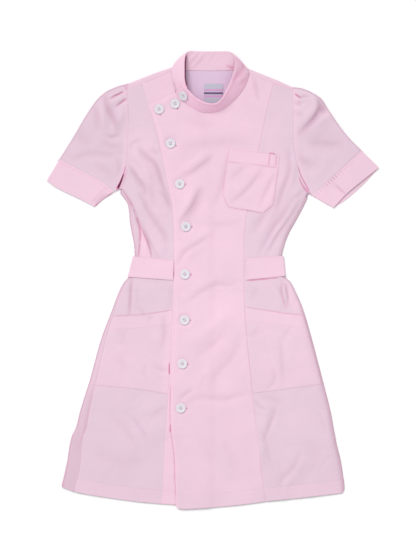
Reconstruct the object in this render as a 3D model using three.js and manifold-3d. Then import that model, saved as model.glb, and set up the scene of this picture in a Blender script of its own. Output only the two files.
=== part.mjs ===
// Nurse's uniform dress, buttoned and laid flat on its back. Sizes are in millimetres.
// X runs across the garment (the wearer's right side is -X), Y from hem to collar, Z up from the surface.
// Each cut and sewn piece is its own closed solid, a gap away from its neighbours along every seam.

import * as THREE from 'three';
import { mergeVertices } from 'three/addons/utils/BufferGeometryUtils.js';
import Module from 'manifold-3d';

const wasm = await Module();
wasm.setup();

// Walls and gaps
const CLOTH = 1.2;
const BELT_WALL = 1.6;
const CUFF_WALL = 1.6;
const COLLAR_WALL = 2.0;
const LABEL_WALL = 1.0;
const SEAM_GAP = 0.3;
const HALF_GAP = SEAM_GAP / 2;
const LAYER_GAP = 0.7;
const SEAT_GAP = 0.3;
const CUFF_START = 0.5;

// Heights: the back lies on the surface, the front lies just above it, and both rise over the belt's back run
const FRONT_LOW = 2.0;
const BELT_LIFT = 2.0;
const LIFT = { start: 430, full: 452, fullEnd: 508, end: 534 };
const FOLD_REACH = 1.0;

// Heights between which the centre panels' rows turn from straight to the shape of the hem and the neck
const HEM_BLEND_TO = 200;
const TOP_BLEND_FROM = 560;

// Grid sizes, in cells
const SIDE_FRONT_CELLS = 8;
const FOLD_CELLS = 3;
const SLEEVE_CELLS = 7;
const CUFF_CELLS = 2;
const COLLAR_CELLS = { around: 44, up: 3 };
const COLLAR_CENTRE = new THREE.Vector3(4, 862, 0);
const BELT_CELLS = { front: 6, back: 10, fold: 4, across: 2 };

const table = (names, rows) => {
  const keys = names.split(' ');
  return rows.map((row) => Object.fromEntries(keys.map((key, k) => [key, row[k]])));
};

// Rows that run across the body. Each names the height where it meets the side seam or armhole and the
// princess seam, on the wearer's right and left, and how far its middle sags below a straight line.
const BODY_ROWS = table('name sideRight princessRight sagRight sideLeft princessLeft sagLeft', [
  ['hem', 33, 9, 2.8, 31, 14, 0.6],
  ['hemStitch', 58, 35, 2.6, 57, 40, 0.6],
  ['', 95, 76, 2, 94, 80, 0.5],
  ['', 128, 114, 1, 128, 118, 0.4],
  ['', 144, 134, 0.5, 150, 142, 0.3],
  ['', 160, 152, 0, 170, 164, 0],
  ['', 200, 190, -1, 208, 196, 0],
  ['pocketBottom', 246, 228.4, -2, 248.6, 230, 0.5],
  ['', 280, 268, -1, 282, 270, 0],
  ['', 314, 310, 0, 316, 312, 0],
  ['', 348, 352, 1.4, 350, 356, 0.7],
  ['pocketTop', 382.4, 394.8, 2.8, 385.6, 400.8, 1.4],
  ['', 408, 413, 1.4, 409, 416, 0.7],
  ['liftStart', LIFT.start, LIFT.start, 0, LIFT.start, LIFT.start, 0],
  ['liftFull', LIFT.full, LIFT.full, 0, LIFT.full, LIFT.full, 0],
  ['', 464, 458, 0, 465, 459, 0],
  ['', 483, 475, 0, 484, 477, 0],
  ['liftFullEnd', LIFT.fullEnd, LIFT.fullEnd, 0, LIFT.fullEnd, LIFT.fullEnd, 0],
  ['liftEnd', LIFT.end, LIFT.end, 0, LIFT.end, LIFT.end, 0],
  ['', 556, 558, 0, 556, 560, 0],
  ['', 578, 584, 0, 577, 586, 0],
  ['', 600, 611, 0, 600, 612, 0],
  ['', 616, 632, 0, 612, 634, 0],
  ['wrapEnd', 629, 650, 0, 621, 654, 0],
  ['armpit', 638, 668, 0, 629, 676, 0],
  ['', 656, 688, 0, 650, 698, 0],
  ['', 684, 712, 0, 676, 722, 0],
  ['', 705, 734, 0, 700, 746, 0],
  ['', 726, 756, 0, 722, 768, 0],
  ['', 752, 780, 0, 748, 790, 0],
  ['', 778, 802, 0, 776, 810, 0],
  ['', 806, 824, 0, 806, 829, 0],
  ['shoulder', 836.4, 847.2, 0, 835.6, 847.4, 0],
]);

// Outline of the laid body, and how far the back panel wraps onto the front before its side seam
const OUTLINE = table('y right wrapRight left wrapLeft', [
  [33, -292, 26.4, 272.4, 3.6],
  [45, -292, 27, 272.6, 3.6],
  [60, -288.6, 29, 270.6, 3.6],
  [96, -281, 27, 265, 3.6],
  [128, -276, 24.3, 257, 3.6],
  [144, -272, 23, 254, 3.6],
  [160, -264, 21.5, 251, 3.6],
  [192, -256, 19.5, 245, 3.6],
  [256, -236, 13.5, 229, 3.6],
  [336, -214, 10, 208, 3.6],
  [400, -190, 6, 189, 3.8],
  [432, -178, 5.3, 175, 6],
  [452, -167, 5, 164.5, 5.6],
  [464, -156.5, 5, 151.5, 4],
  [480, -152, 5, 148.5, 3.8],
  [502, -146, 5.4, 146.5, 3.6],
  [528, -148, 5.9, 153, 3.6],
  [548, -152, 6.2, 161, 3.6],
  [572, -156, 6.5, 174.2, 3.6],
  [596, -158, 7, 187, 3.6],
  [608, -160, 6.2, 192.8, 3.6],
  [620, -166, 4.8, 197, 3.6],
  [630, -173, 3.8, 201, 3.6],
]);

const ARMHOLE_RIGHT = table('y x', [
  [638, -178.4], [656, -171], [684, -163], [726, -160], [776, -157.6], [806, -158.4], [836, -160.6], [850, -159],
]);
const ARMHOLE_LEFT = table('y x', [
  [629, 201], [666, 186], [700, 176], [744, 170.8], [788.8, 170.8], [826, 170], [842, 169],
]);

// Long seams and edges of the centre panels
const CENTRE_EDGES = table('y princessRight overlapEdge princessLeft', [
  [0, -92.5, -63.6, 117],
  [60, -89.5, -66, 109.5],
  [100, -87.5, -67, 104.8],
  [130, -86, -70, 101.3],
  [160, -83.8, -73, 97.6],
  [200, -81, -75, 93],
  [260, -77.5, -74.4, 86.8],
  [330, -74, -69, 79.6],
  [400, -70.6, -66.4, 74.6],
  [450, -69.2, -68, 72.8],
  [500, -68, -67, 72.8],
  [550, -68.4, -67.4, 73.6],
  [600, -71.8, -70.8, 79.6],
  [650, -81, -80, 88.8],
  [700, -91.4, -90.4, 98.8],
  [750, -101.6, -100.6, 109.2],
  [800, -117, -117.5, 119.8],
  [850, -132, -132, 131.8],
]);
const UNDERLAP_EDGE = table('y x', [[0, -16], [400, -14], [600, -16], [700, -24], [760, -34], [811, -46]]);
const UNDERLAP_HEM_Y = 4;
const UNDERLAP_CELLS = { shoulder: 2, neck: 4 };
const UNDERLAP_TOP = {
  shoulder: [[-131.8, 847.2], [-103, 859], [-74.6, 871]],
  neck: [[-74.6, 871], [-71.6, 855], [-65.6, 841], [-61, 830], [-52, 816], [-46, 808.6]],
};

const OVERLAP_CELLS = { diagonal: 2, neck: 8, shoulder: 3 };
const OVERLAP_TOP = {
  diagonal: [[-119, 804.4], [-92, 817], [-64, 830]],
  neck: [
    [-64, 829.6], [-51.2, 811.6], [-35, 798.7], [-16.4, 790.6], [2, 789], [20.4, 792.2],
    [41.2, 803], [61.4, 820.8], [74.8, 838.6], [83.6, 857], [86.2, 865.4],
  ],
  shoulder: [[86.2, 865.4], [110, 856.4], [133.6, 847.4]],
};
const OVERLAP_HEM = [[-63.8, 5.4], [-59, -0.2], [-48, -1.4], [-34, -1], [-2, 1], [64, 7], [116.2, 14]];

// The overlap stays raised this far past the underlap's hidden edge, then comes down over the next stretch
const LAP_FLAT = 12;
const LAP_FADE = 20;

// Back panel: hem, shoulder folds with the seams in front of them, and the neckline between
const BACK_HEM = [[-290.4, 42], [-240, 31], [-160, 20], [-92, 14], [0, 6], [115, 20], [200, 29], [271, 36]];
const BACK_NECK_Y = 874.6;
const SHOULDERS = {
  right: { fold: [[-158.9, 848.6], [-122, 863.4], [-100, 871.6], [-77, 879.6]],
    seam: [[-160.4, 837], [-131.8, 847.6], [-103, 859.4], [-76.6, 871.4]] },
  left: { fold: [[84.8, 877], [98, 871.4], [118, 863.4], [138, 855.4], [168.6, 841.6]],
    seam: [[88, 865], [110, 856.8], [133.8, 847.8], [169, 836]] },
};
const SHOULDER_CELLS = 3;
const NECK_COLUMNS = [-69, -40, 4, 48, 77];

// Sleeves and cuffs in plan, each edge as a short path from the armhole side outward
const SLEEVES = {
  right: {
    outer: [[-160, 848.4], [-180, 843], [-204, 832], [-222, 816], [-244, 784], [-270, 740], [-296.4, 698]],
    inner: [[-180.4, 636.4], [-184.4, 634.6], [-188.4, 632.4]],
    seam: [[-188.4, 632.4], [-213.6, 653.6], [-254.4, 675.6], [-296.4, 698]],
    cuffOuter: [[-296.4, 698], [-309, 677], [-322, 655.4]],
    cuffInner: [[-188.4, 632.4], [-208, 618.4], [-226.8, 602.8]],
    end: [[-226.8, 602.8], [-256, 618.8], [-280, 630], [-304, 642], [-322, 655.4]],
    lowerEnd: [[-226.8, 602.8], [-256, 618.8], [-280, 630], [-304, 642], [-322, 655.4]],
  },
  left: {
    outer: [[170.4, 841.4], [188, 839], [207, 831], [227.4, 817.4], [243, 792.6], [265, 760.6], [281, 740.8], [306, 715.6]],
    inner: [[203, 627.6], [205, 626.6], [208, 625]],
    seam: [[208, 625], [224, 638.8], [240.4, 655], [263.4, 675.6], [306, 715.6]],
    cuffOuter: [[306, 715.6], [323.4, 698.6], [341.2, 681]],
    cuffInner: [[208, 625], [228, 613], [250.4, 600.4]],
    end: [[250.4, 600.4], [275, 627], [306, 653], [341.2, 681]],
    lowerEnd: [[250.4, 600.4], [277, 617.8], [310.6, 647.4], [341.2, 681]],
  },
};

// Stand collar: a band from its neck seam to its free edge, from the buttoned end round to the end behind it,
// with how far its middle stands out from a straight line between the two
const COLLAR = table('x y z topX topY topZ bulge', [
  [-64, 830, 6.6, -51.8, 844.6, 20, 0],
  [-50, 815, 6.4, -41, 835, 23, 0.5],
  [-33, 801.6, 6.2, -28, 821.4, 25, 1],
  [-16, 793, 5.8, -15, 812.6, 26, 1],
  [2, 791, 5.2, 1, 807.2, 26, 1],
  [20, 794, 4.8, 16.6, 807.6, 26, 1],
  [40, 804.4, 4.6, 27.6, 816.4, 26, 1],
  [60, 822, 4.6, 36.6, 832.4, 26, 1],
  [73, 839.4, 4.6, 45, 850, 25, 1],
  [80.8, 857.4, 4.6, 51.8, 870, 22, 1.5],
  [82, 869, 4, 55.2, 891, 17, 3],
  [78.6, 876.6, 2.6, 51, 906, 9, 3],
  [66, 876.4, 1.2, 41, 912, 5, 0],
  [40, 875.8, 1.1, 26, 912.6, 4, 0],
  [6, 875.6, 1.1, 4, 912.4, 4, 0],
  [-28, 875.8, 1.1, -20, 912.6, 4, 0],
  [-56, 876.6, 1.2, -36.5, 913, 5, 0],
  [-71, 879.6, 2.8, -43.4, 908.8, 9, 3.5],
  [-72.4, 871, 4.6, -46.8, 896, 16, 3],
  [-69.6, 855, 4.8, -47.4, 874, 21, 1.5],
  [-63.6, 842, 5, -46.8, 855, 22.5, 0.5],
  [-59, 830.8, 5.4, -41.5, 842.4, 21.5, 0],
  [-47.6, 817, 5.6, -31.5, 831.5, 21, 0],
]);

// Belt: its front runs start at the princess seams, fold round the sides and meet in one run under the back
const BELT = {
  right: { inner: { bottomY: 456.2, topY: 493.8 }, outer: { bottom: [-160.4, 462.8], top: [-150.2, 503] } },
  left: { inner: { bottom: [76, 456.6], top: [78, 498.8] }, outer: { bottom: [155.2, 464.4], top: [151.2, 503.4] } },
};
const BELT_FOLD_REACH = 2.0;

// Breast pocket: rows from its pointed bottom to its opening
const BREAST_POCKET = table('leftX leftY rightX rightY', [
  [42, 603, 108.8, 590],
  [30, 626, 129, 606],
  [33.6, 660, 134.6, 642],
  [37.2, 694, 140, 678],
  [42.8, 717.2, 142.8, 704.4],
]);
const BREAST_POCKET_CELLS = 8;

const LABEL = { x: 11, y: 829, width: 37, height: 38 };

const BUTTON = { radius: 10, sides: 14, hole: 1, holeSides: 4, holeSpacing: 1.6 };
const BUTTON_PROFILE = table('radius height', [
  [0, 0], [8.8, 0], [10, 1.1], [9.8, 2.3], [8.9, 2.9], [7.4, 2.6], [6, 1.9], [0, 1.8],
]);
const BUTTONS = table('x y', [
  [-48.6, 823.8],
  [-65.8, 808.4],
  [-97.6, 797.4],
  [-74.8, 729],
  [-56.4, 648],
  [-44.2, 562.8],
  [-46, 467.6],
  [-46.8, 376],
  [-51.2, 288.4],
  [-54.4, 200],
]);

// The largest folds of the front layer, each a ridge between two points
const FOLDS = table('fromX fromY toX toY width height', [
  [-62, 548, -10, 656, 11, 2.4],
  [-60, 488, 22, 578, 12, 2.2],
  [-62, 412, 34, 466, 12, 1.8],
  [-42, 322, 62, 404, 13, 1.8],
  [-22, 228, 32, 334, 13, 1.6],
  [176, 706, 104, 546, 11, 2.8],
  [190, 656, 140, 540, 10, 2.4],
  [-154, 740, -106, 636, 12, 2.8],
  [-160, 690, -116, 548, 10, 2.4],
  [140, 451, 150, 394, 8, 2],
  [120, 222, 104, 70, 10, 1.8],
  [188, 124, 150, 30, 11, 1.6],
  [-146, 200, -100, 96, 11, 1.6],
  [-162, 830, -208, 798, 8, 2.6],
  [-160, 812, -194, 742, 10, 3],
  [-204, 828, -218, 722, 13, 2.4],
  [-184, 652, -248, 706, 11, 1.6],
  [172, 834, 210, 804, 8, 2.4],
  [172, 738, 248, 796, 11, 2.8],
  [208, 822, 224, 762, 10, 2.2],
  [206, 650, 256, 716, 11, 1.6],
]);

// Colours of the two cloth weights, the buttons and the woven label
const SINGLE_PLY = { color: 0xe8c8da, roughness: 0.85, metalness: 0 };
const DOUBLE_PLY = { color: 0xf2cfe0, roughness: 0.82, metalness: 0 };
const BUTTON_FINISH = { color: 0xf1edf0, roughness: 0.32, metalness: 0 };
const LABEL_FINISH = { color: 0xc9c6d6, roughness: 0.8, metalness: 0 };

const SIGN = { right: -1, left: 1 };
const capital = (word) => word[0].toUpperCase() + word.slice(1);
const fractions = (cells) => Array.from({ length: cells + 1 }, (_, k) => k / cells);
const lerp = THREE.MathUtils.lerp;
const smoothstep = THREE.MathUtils.smoothstep;
const planPoint = ([x, y]) => new THREE.Vector3(x, y, 0);

// A smooth function of y through a table's rows that never overshoots them
function along(rows, name) {
  const ys = rows.map((row) => row.y);
  const values = rows.map((row) => row[name]);
  const slopes = ys.slice(1).map((y, k) => (values[k + 1] - values[k]) / (y - ys[k]));
  const tangents = values.map((_, k) => {
    const before = slopes[Math.max(k - 1, 0)];
    const after = slopes[Math.min(k, slopes.length - 1)];
    return before * after > 0 ? (2 * before * after) / (before + after) : 0;
  });
  return (y) => {
    const above = ys.findIndex((limit) => limit > y);
    const k = above < 0 ? slopes.length - 1 : Math.max(above - 1, 0);
    const span = ys[k + 1] - ys[k];
    const t = THREE.MathUtils.clamp((y - ys[k]) / span, 0, 1);
    const rise = t * t * (3 - 2 * t);
    const bend = span * (t * (1 - t) * (1 - t) * tangents[k] - t * t * (1 - t) * tangents[k + 1]);
    return values[k] + (values[k + 1] - values[k]) * rise + bend;
  };
}

const outline = { right: along(OUTLINE, 'right'), left: along(OUTLINE, 'left') };
const wrap = { right: along(OUTLINE, 'wrapRight'), left: along(OUTLINE, 'wrapLeft') };
const armhole = { right: along(ARMHOLE_RIGHT, 'x'), left: along(ARMHOLE_LEFT, 'x') };
const princess = { right: along(CENTRE_EDGES, 'princessRight'), left: along(CENTRE_EDGES, 'princessLeft') };
const overlapEdge = along(CENTRE_EDGES, 'overlapEdge');
const underlapEdge = along(UNDERLAP_EDGE, 'x');

const rowIndex = (name) => BODY_ROWS.findIndex((row) => row.name === name);
const ARMPIT_ROW = rowIndex('armpit');
const WRAP_END_ROW = rowIndex('wrapEnd');
const SHOULDER_ROW = rowIndex('shoulder');
const sideLevels = (side) => BODY_ROWS.map((row) => row[`side${capital(side)}`]);
const armpitY = { right: sideLevels('right')[ARMPIT_ROW], left: sideLevels('left')[ARMPIT_ROW] };

// Where a front panel ends at its side: the side seam, and above the armpit the armhole
function sideEdge(side, y) {
  return y < armpitY[side] ? outline[side](y) - SIGN[side] * wrap[side](y) : armhole[side](y);
}

// Heights of the layers
function lift(y) {
  if (y <= LIFT.start || y >= LIFT.end) return 0;
  if (y < LIFT.full) return (BELT_LIFT * (y - LIFT.start)) / (LIFT.full - LIFT.start);
  if (y > LIFT.fullEnd) return (BELT_LIFT * (LIFT.end - y)) / (LIFT.end - LIFT.fullEnd);
  return BELT_LIFT;
}

function foldHeight(fold, x, y) {
  const runX = fold.toX - fold.fromX;
  const runY = fold.toY - fold.fromY;
  const length = Math.hypot(runX, runY);
  const t = ((x - fold.fromX) * runX + (y - fold.fromY) * runY) / (length * length);
  if (t <= 0 || t >= 1) return 0;
  const across = ((x - fold.fromX) * runY - (y - fold.fromY) * runX) / length;
  return fold.height * 4 * t * (1 - t) * Math.exp(-((across / fold.width) ** 2));
}

const calmFront = (y) => FRONT_LOW + lift(y);
const front = (x, y) => calmFront(y) + FOLDS.reduce((sum, fold) => sum + foldHeight(fold, x, y), 0);

// How much of its step the overlap stands up by: all of it over the underlap, none a little past it
function lap(x, y) {
  const past = x - underlapEdge(y) - LAP_FLAT;
  return 1 - smoothstep(past, 0, LAP_FADE);
}

// Plan path through points, as cells of equal length
function path(points, cells) {
  return new THREE.CatmullRomCurve3(points.map(planPoint), false, 'centripetal').getSpacedPoints(cells);
}

function joinPaths(paths) {
  return paths.flatMap((points, k) => (k === 0 ? points : points.slice(1)));
}

// Grid of a panel between two side edges. Its bottom and top rows follow their own paths, and the rows
// near them follow part of the way.
function panelGrid({ starts, ends, sags, bottom, top, topFrom, cells = top.length - 1 }) {
  const offset = (points, i) => {
    const straight = points[0].clone().lerp(points[cells], i / cells);
    return points[i].clone().sub(straight);
  };
  return starts.map((start, j) => {
    const middle = (start.y + ends[j].y) / 2;
    const topShare = top ? smoothstep(middle, topFrom, (top[0].y + top[cells].y) / 2) : 0;
    const bottomShare = bottom ? 1 - smoothstep(middle, (bottom[0].y + bottom[cells].y) / 2, HEM_BLEND_TO) : 0;
    return fractions(cells).map((u, i) => {
      const point = start.clone().lerp(ends[j], u);
      if (sags) point.y -= 4 * sags[j] * u * (1 - u);
      if (top) point.addScaledVector(offset(top, i), topShare);
      if (bottom) point.addScaledVector(offset(bottom, i), bottomShare);
      return point;
    });
  });
}

function raise(grid, height) {
  return grid.map((row) => row.map((point) => new THREE.Vector3(point.x, point.y, height(point.x, point.y))));
}

// Closed wall on both sides of a grid of middle points, along Z where upright and along the normals elsewhere
function wall(grid, thickness, { upright = false, ring = false, keep = () => true } = {}) {
  const rows = grid.length;
  const columns = grid[0].length;
  const cellColumns = ring ? columns : columns - 1;
  const wrapped = (i) => (i + columns) % columns;
  const exists = (j, i) => {
    const column = ring ? (i + cellColumns) % cellColumns : i;
    return j >= 0 && j < rows - 1 && column >= 0 && column < cellColumns && keep(j, column);
  };
  const corners = (j, i) => [[j, i], [j, wrapped(i + 1)], [j + 1, wrapped(i + 1)], [j + 1, i]];
  const at = ([j, i]) => grid[j][i];

  const normals = grid.map((row) => row.map(() => new THREE.Vector3()));
  for (let j = 0; j < rows - 1; j += 1) {
    for (let i = 0; i < cellColumns; i += 1) {
      if (!exists(j, i)) continue;
      const quad = corners(j, i);
      const [a, b, c, d] = quad.map(at);
      const normal = c.clone().sub(a).cross(d.clone().sub(b)).normalize();
      quad.forEach(([row, column]) => normals[row][column].add(normal));
    }
  }

  const positions = [];
  const index = [];
  const numbers = new Map();
  const vertex = ([j, i], side) => {
    const key = `${j} ${i} ${side}`;
    if (!numbers.has(key)) {
      const normal = upright ? new THREE.Vector3(0, 0, 1) : normals[j][i].clone().normalize();
      const point = grid[j][i].clone().addScaledVector(normal, (side * thickness) / 2);
      numbers.set(key, positions.length / 3);
      positions.push(point.x, point.y, point.z);
    }
    return numbers.get(key);
  };
  const quadFaces = (a, b, c, d) => index.push(a, b, c, a, c, d);

  for (let j = 0; j < rows - 1; j += 1) {
    for (let i = 0; i < cellColumns; i += 1) {
      if (!exists(j, i)) continue;
      const quad = corners(j, i);
      quadFaces(...quad.map((corner) => vertex(corner, 1)));
      quadFaces(...quad.map((corner) => vertex(corner, -1)).reverse());
      const neighbours = [[j - 1, i], [j, i + 1], [j + 1, i], [j, i - 1]];
      neighbours.forEach(([row, column], edge) => {
        if (exists(row, column)) return;
        const from = quad[edge];
        const to = quad[(edge + 1) % 4];
        quadFaces(vertex(to, 1), vertex(from, 1), vertex(from, -1), vertex(to, -1));
      });
    }
  }
  return outward(positions, index);
}

// Geometry with its faces pointing out, whichever way round the grid was laid
function outward(positions, index) {
  const corner = (k) => new THREE.Vector3().fromArray(positions, index[k] * 3);
  let volume = 0;
  for (let k = 0; k < index.length; k += 3) {
    volume += corner(k).dot(corner(k + 1).cross(corner(k + 2)));
  }
  if (volume < 0) index.reverse();
  const geometry = new THREE.BufferGeometry();
  geometry.setAttribute('position', new THREE.Float32BufferAttribute(positions, 3));
  geometry.setIndex(index);
  return geometry;
}

const garment = new THREE.Group();

function addPiece(name, geometry, finish) {
  geometry.computeVertexNormals();
  const piece = new THREE.Mesh(geometry, new THREE.MeshStandardMaterial(finish));
  piece.name = name;
  piece.updateMatrixWorld();
  garment.add(piece);
  return piece;
}

// Height of the topmost surface of some pieces at a place in plan, with the way it faces
const DROP_FROM = 100;
function surfaceAt(pieces, x, y) {
  const ray = new THREE.Raycaster(new THREE.Vector3(x, y, DROP_FROM), new THREE.Vector3(0, 0, -1));
  const [hit] = ray.intersectObjects(pieces);
  return hit && { z: hit.point.z, normal: hit.face.normal };
}

// Side front panels, each from side seam and armhole to the princess seam
function sideFrontGrid(side) {
  const name = capital(side);
  const inset = -SIGN[side] * HALF_GAP;
  const starts = BODY_ROWS.map((row) => {
    const y = row[`side${name}`];
    return new THREE.Vector3(sideEdge(side, y) + inset, y, 0);
  });
  const ends = BODY_ROWS.map((row) => {
    const y = row[`princess${name}`];
    return new THREE.Vector3(princess[side](y) - inset, y, 0);
  });
  const sags = BODY_ROWS.map((row) => row[`sag${name}`]);
  const grid = panelGrid({ starts, ends, sags, cells: SIDE_FRONT_CELLS });
  return raise(grid, (x, y) => front(x, y) + CLOTH / 2);
}

// Skirt pocket: the rows of its side front between two named rows, moved out onto the panel
function skirtPocketGrid(panel) {
  const rows = panel.slice(rowIndex('pocketBottom'), rowIndex('pocketTop') + 1);
  return rows.map((row) => row.map((point) => point.clone().setZ(point.z + CLOTH + SEAT_GAP)));
}

// Levels of the centre panels at their outer edges, squeezed above the belt so that they end at a given height
function centreLevels(name, topY) {
  const last = BODY_ROWS[SHOULDER_ROW][name];
  return BODY_ROWS.map((row) => {
    const y = row[name];
    return y <= LIFT.end ? y : LIFT.end + ((y - LIFT.end) * (topY - LIFT.end)) / (last - LIFT.end);
  });
}

function underlapGrid() {
  const top = joinPaths([
    path(UNDERLAP_TOP.shoulder, UNDERLAP_CELLS.shoulder),
    path(UNDERLAP_TOP.neck, UNDERLAP_CELLS.neck),
  ]);
  const last = top[top.length - 1];
  const starts = centreLevels('princessRight', top[0].y).map(
    (y) => new THREE.Vector3(princess.right(y) + HALF_GAP, y, 0),
  );
  const ends = centreLevels('princessRight', last.y).map((y, j) => {
    const level = j === 0 ? UNDERLAP_HEM_Y : y;
    return new THREE.Vector3(underlapEdge(level), level, 0);
  });
  const grid = panelGrid({ starts, ends, top, topFrom: TOP_BLEND_FROM });
  return raise(grid, (x, y) => calmFront(y) + CLOTH / 2);
}

function overlapGrid() {
  const top = joinPaths([
    path(OVERLAP_TOP.diagonal, OVERLAP_CELLS.diagonal),
    path(OVERLAP_TOP.neck, OVERLAP_CELLS.neck),
    path(OVERLAP_TOP.shoulder, OVERLAP_CELLS.shoulder),
  ]);
  const bottom = path(OVERLAP_HEM, top.length - 1);
  const last = top.length - 1;
  const starts = centreLevels('princessRight', top[0].y).map((y, j) =>
    (j === 0 ? bottom[0].clone() : new THREE.Vector3(overlapEdge(y), y, 0)));
  const ends = centreLevels('princessLeft', top[last].y).map(
    (y) => new THREE.Vector3(princess.left(y) - HALF_GAP, y, 0),
  );
  starts[starts.length - 1] = top[0].clone();
  const grid = panelGrid({ starts, ends, bottom, top, topFrom: TOP_BLEND_FROM });
  return raise(grid, (x, y) => front(x, y) + lap(x, y) * (CLOTH + LAYER_GAP) + CLOTH / 2);
}

// Points of a fold between two layers, from the lower one to the upper one round a centre
function foldPoints(centre, direction, reach, lowZ, highZ, cells) {
  return fractions(cells).map((t) => {
    const angle = Math.PI * t;
    const point = centre.clone().addScaledVector(direction, reach * Math.sin(angle));
    return point.setZ((lowZ + highZ) / 2 - ((highZ - lowZ) / 2) * Math.cos(angle));
  });
}

// Back panel: it wraps round both sides to the side seams, and over the shoulders to the shoulder seams
function backPiece() {
  const inset = FOLD_REACH + CLOTH / 2;
  const lowZ = (y) => lift(y) + CLOTH / 2;
  const highZ = (y) => calmFront(y) + CLOTH / 2;
  const foldRight = path(SHOULDERS.right.fold, SHOULDER_CELLS);
  const foldLeft = path(SHOULDERS.left.fold, SHOULDER_CELLS);
  const seamRight = path(SHOULDERS.right.seam, SHOULDER_CELLS);
  const seamLeft = path(SHOULDERS.left.seam, SHOULDER_CELLS);
  const folds = [...foldRight, ...NECK_COLUMNS.map((x) => planPoint([x, BACK_NECK_Y])), ...foldLeft];
  const seams = [...seamRight, ...NECK_COLUMNS.map((x) => planPoint([x, BACK_NECK_Y])), ...seamLeft];
  const onShoulder = (i) => i < SHOULDER_CELLS || i > SHOULDER_CELLS + NECK_COLUMNS.length;
  const isNeck = (i) => i > SHOULDER_CELLS && i <= SHOULDER_CELLS + NECK_COLUMNS.length;
  const top = folds.map((point, i) => (isNeck(i) ? point : point.clone().setY(point.y - inset)));
  const mainCells = top.length - 1;
  const bottom = path(BACK_HEM, mainCells);

  const edgePoints = (side) => {
    const topY = side === 'right' ? top[0].y : top[mainCells].y;
    const levels = sideLevels(side);
    const hem = side === 'right' ? bottom[0] : bottom[mainCells];
    return levels.map((level, j) => {
      const stretch = (topY - armpitY[side]) / (levels[SHOULDER_ROW] - armpitY[side]);
      const y = j <= ARMPIT_ROW ? level : armpitY[side] + (level - armpitY[side]) * stretch;
      if (j === 0) return new THREE.Vector3(outline[side](hem.y) - SIGN[side] * inset, hem.y, 0);
      const x = j < ARMPIT_ROW ? outline[side](y) - SIGN[side] * inset : armhole[side](y) - SIGN[side] * HALF_GAP;
      return new THREE.Vector3(x, y, 0);
    });
  };
  const starts = edgePoints('right');
  const ends = edgePoints('left');
  starts[SHOULDER_ROW].copy(top[0]);
  ends[SHOULDER_ROW].copy(top[mainCells]);
  const main = raise(panelGrid({ starts, ends, bottom, top, topFrom: armpitY.right }), (x, y) => lowZ(y));

  // Wrap columns beside each main row, from the side seam round to the back
  const wrapColumns = (side, point, j) => {
    const outwardX = new THREE.Vector3(SIGN[side], 0, 0);
    const fold = foldPoints(point, outwardX, FOLD_REACH, lowZ(point.y), highZ(point.y), FOLD_CELLS).reverse();
    const seamY = sideLevels(side)[j];
    const seamX = sideEdge(side, Math.min(seamY, armpitY[side] - 1)) + SIGN[side] * HALF_GAP;
    const strip = new THREE.Vector3(seamX, seamY, highZ(seamY));
    return [strip, ...fold.slice(0, -1)];
  };
  const mainRows = main.map((row, j) => [
    ...wrapColumns('right', row[0], j),
    ...row,
    ...wrapColumns('left', row[mainCells], j).reverse(),
  ]);
  const wrapCells = FOLD_CELLS + 1;

  // Shoulder rows above the last main row, over the fold to the shoulder seam
  const outwardY = new THREE.Vector3(0, 1, 0);
  const columnsFolded = main[SHOULDER_ROW].map((point, i) => {
    const fold = foldPoints(point, outwardY, FOLD_REACH, lowZ(point.y), highZ(point.y), FOLD_CELLS).slice(1);
    const seam = seams[i].clone().setZ(highZ(seams[i].y));
    return [...fold, seam];
  });
  const shoulderRows = columnsFolded[0].map((_, k) => {
    const row = columnsFolded.map((column) => column[k]);
    const pad = (point) => Array.from({ length: wrapCells }, () => point.clone());
    return [...pad(row[0]), ...row, ...pad(row[mainCells])];
  });

  const keep = (j, i) => {
    const isMain = i >= wrapCells && i < wrapCells + mainCells;
    if (j >= SHOULDER_ROW) return isMain && onShoulder(i - wrapCells);
    return isMain || j < WRAP_END_ROW;
  };
  return wall([...mainRows, ...shoulderRows], CLOTH, { keep });
}

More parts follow.
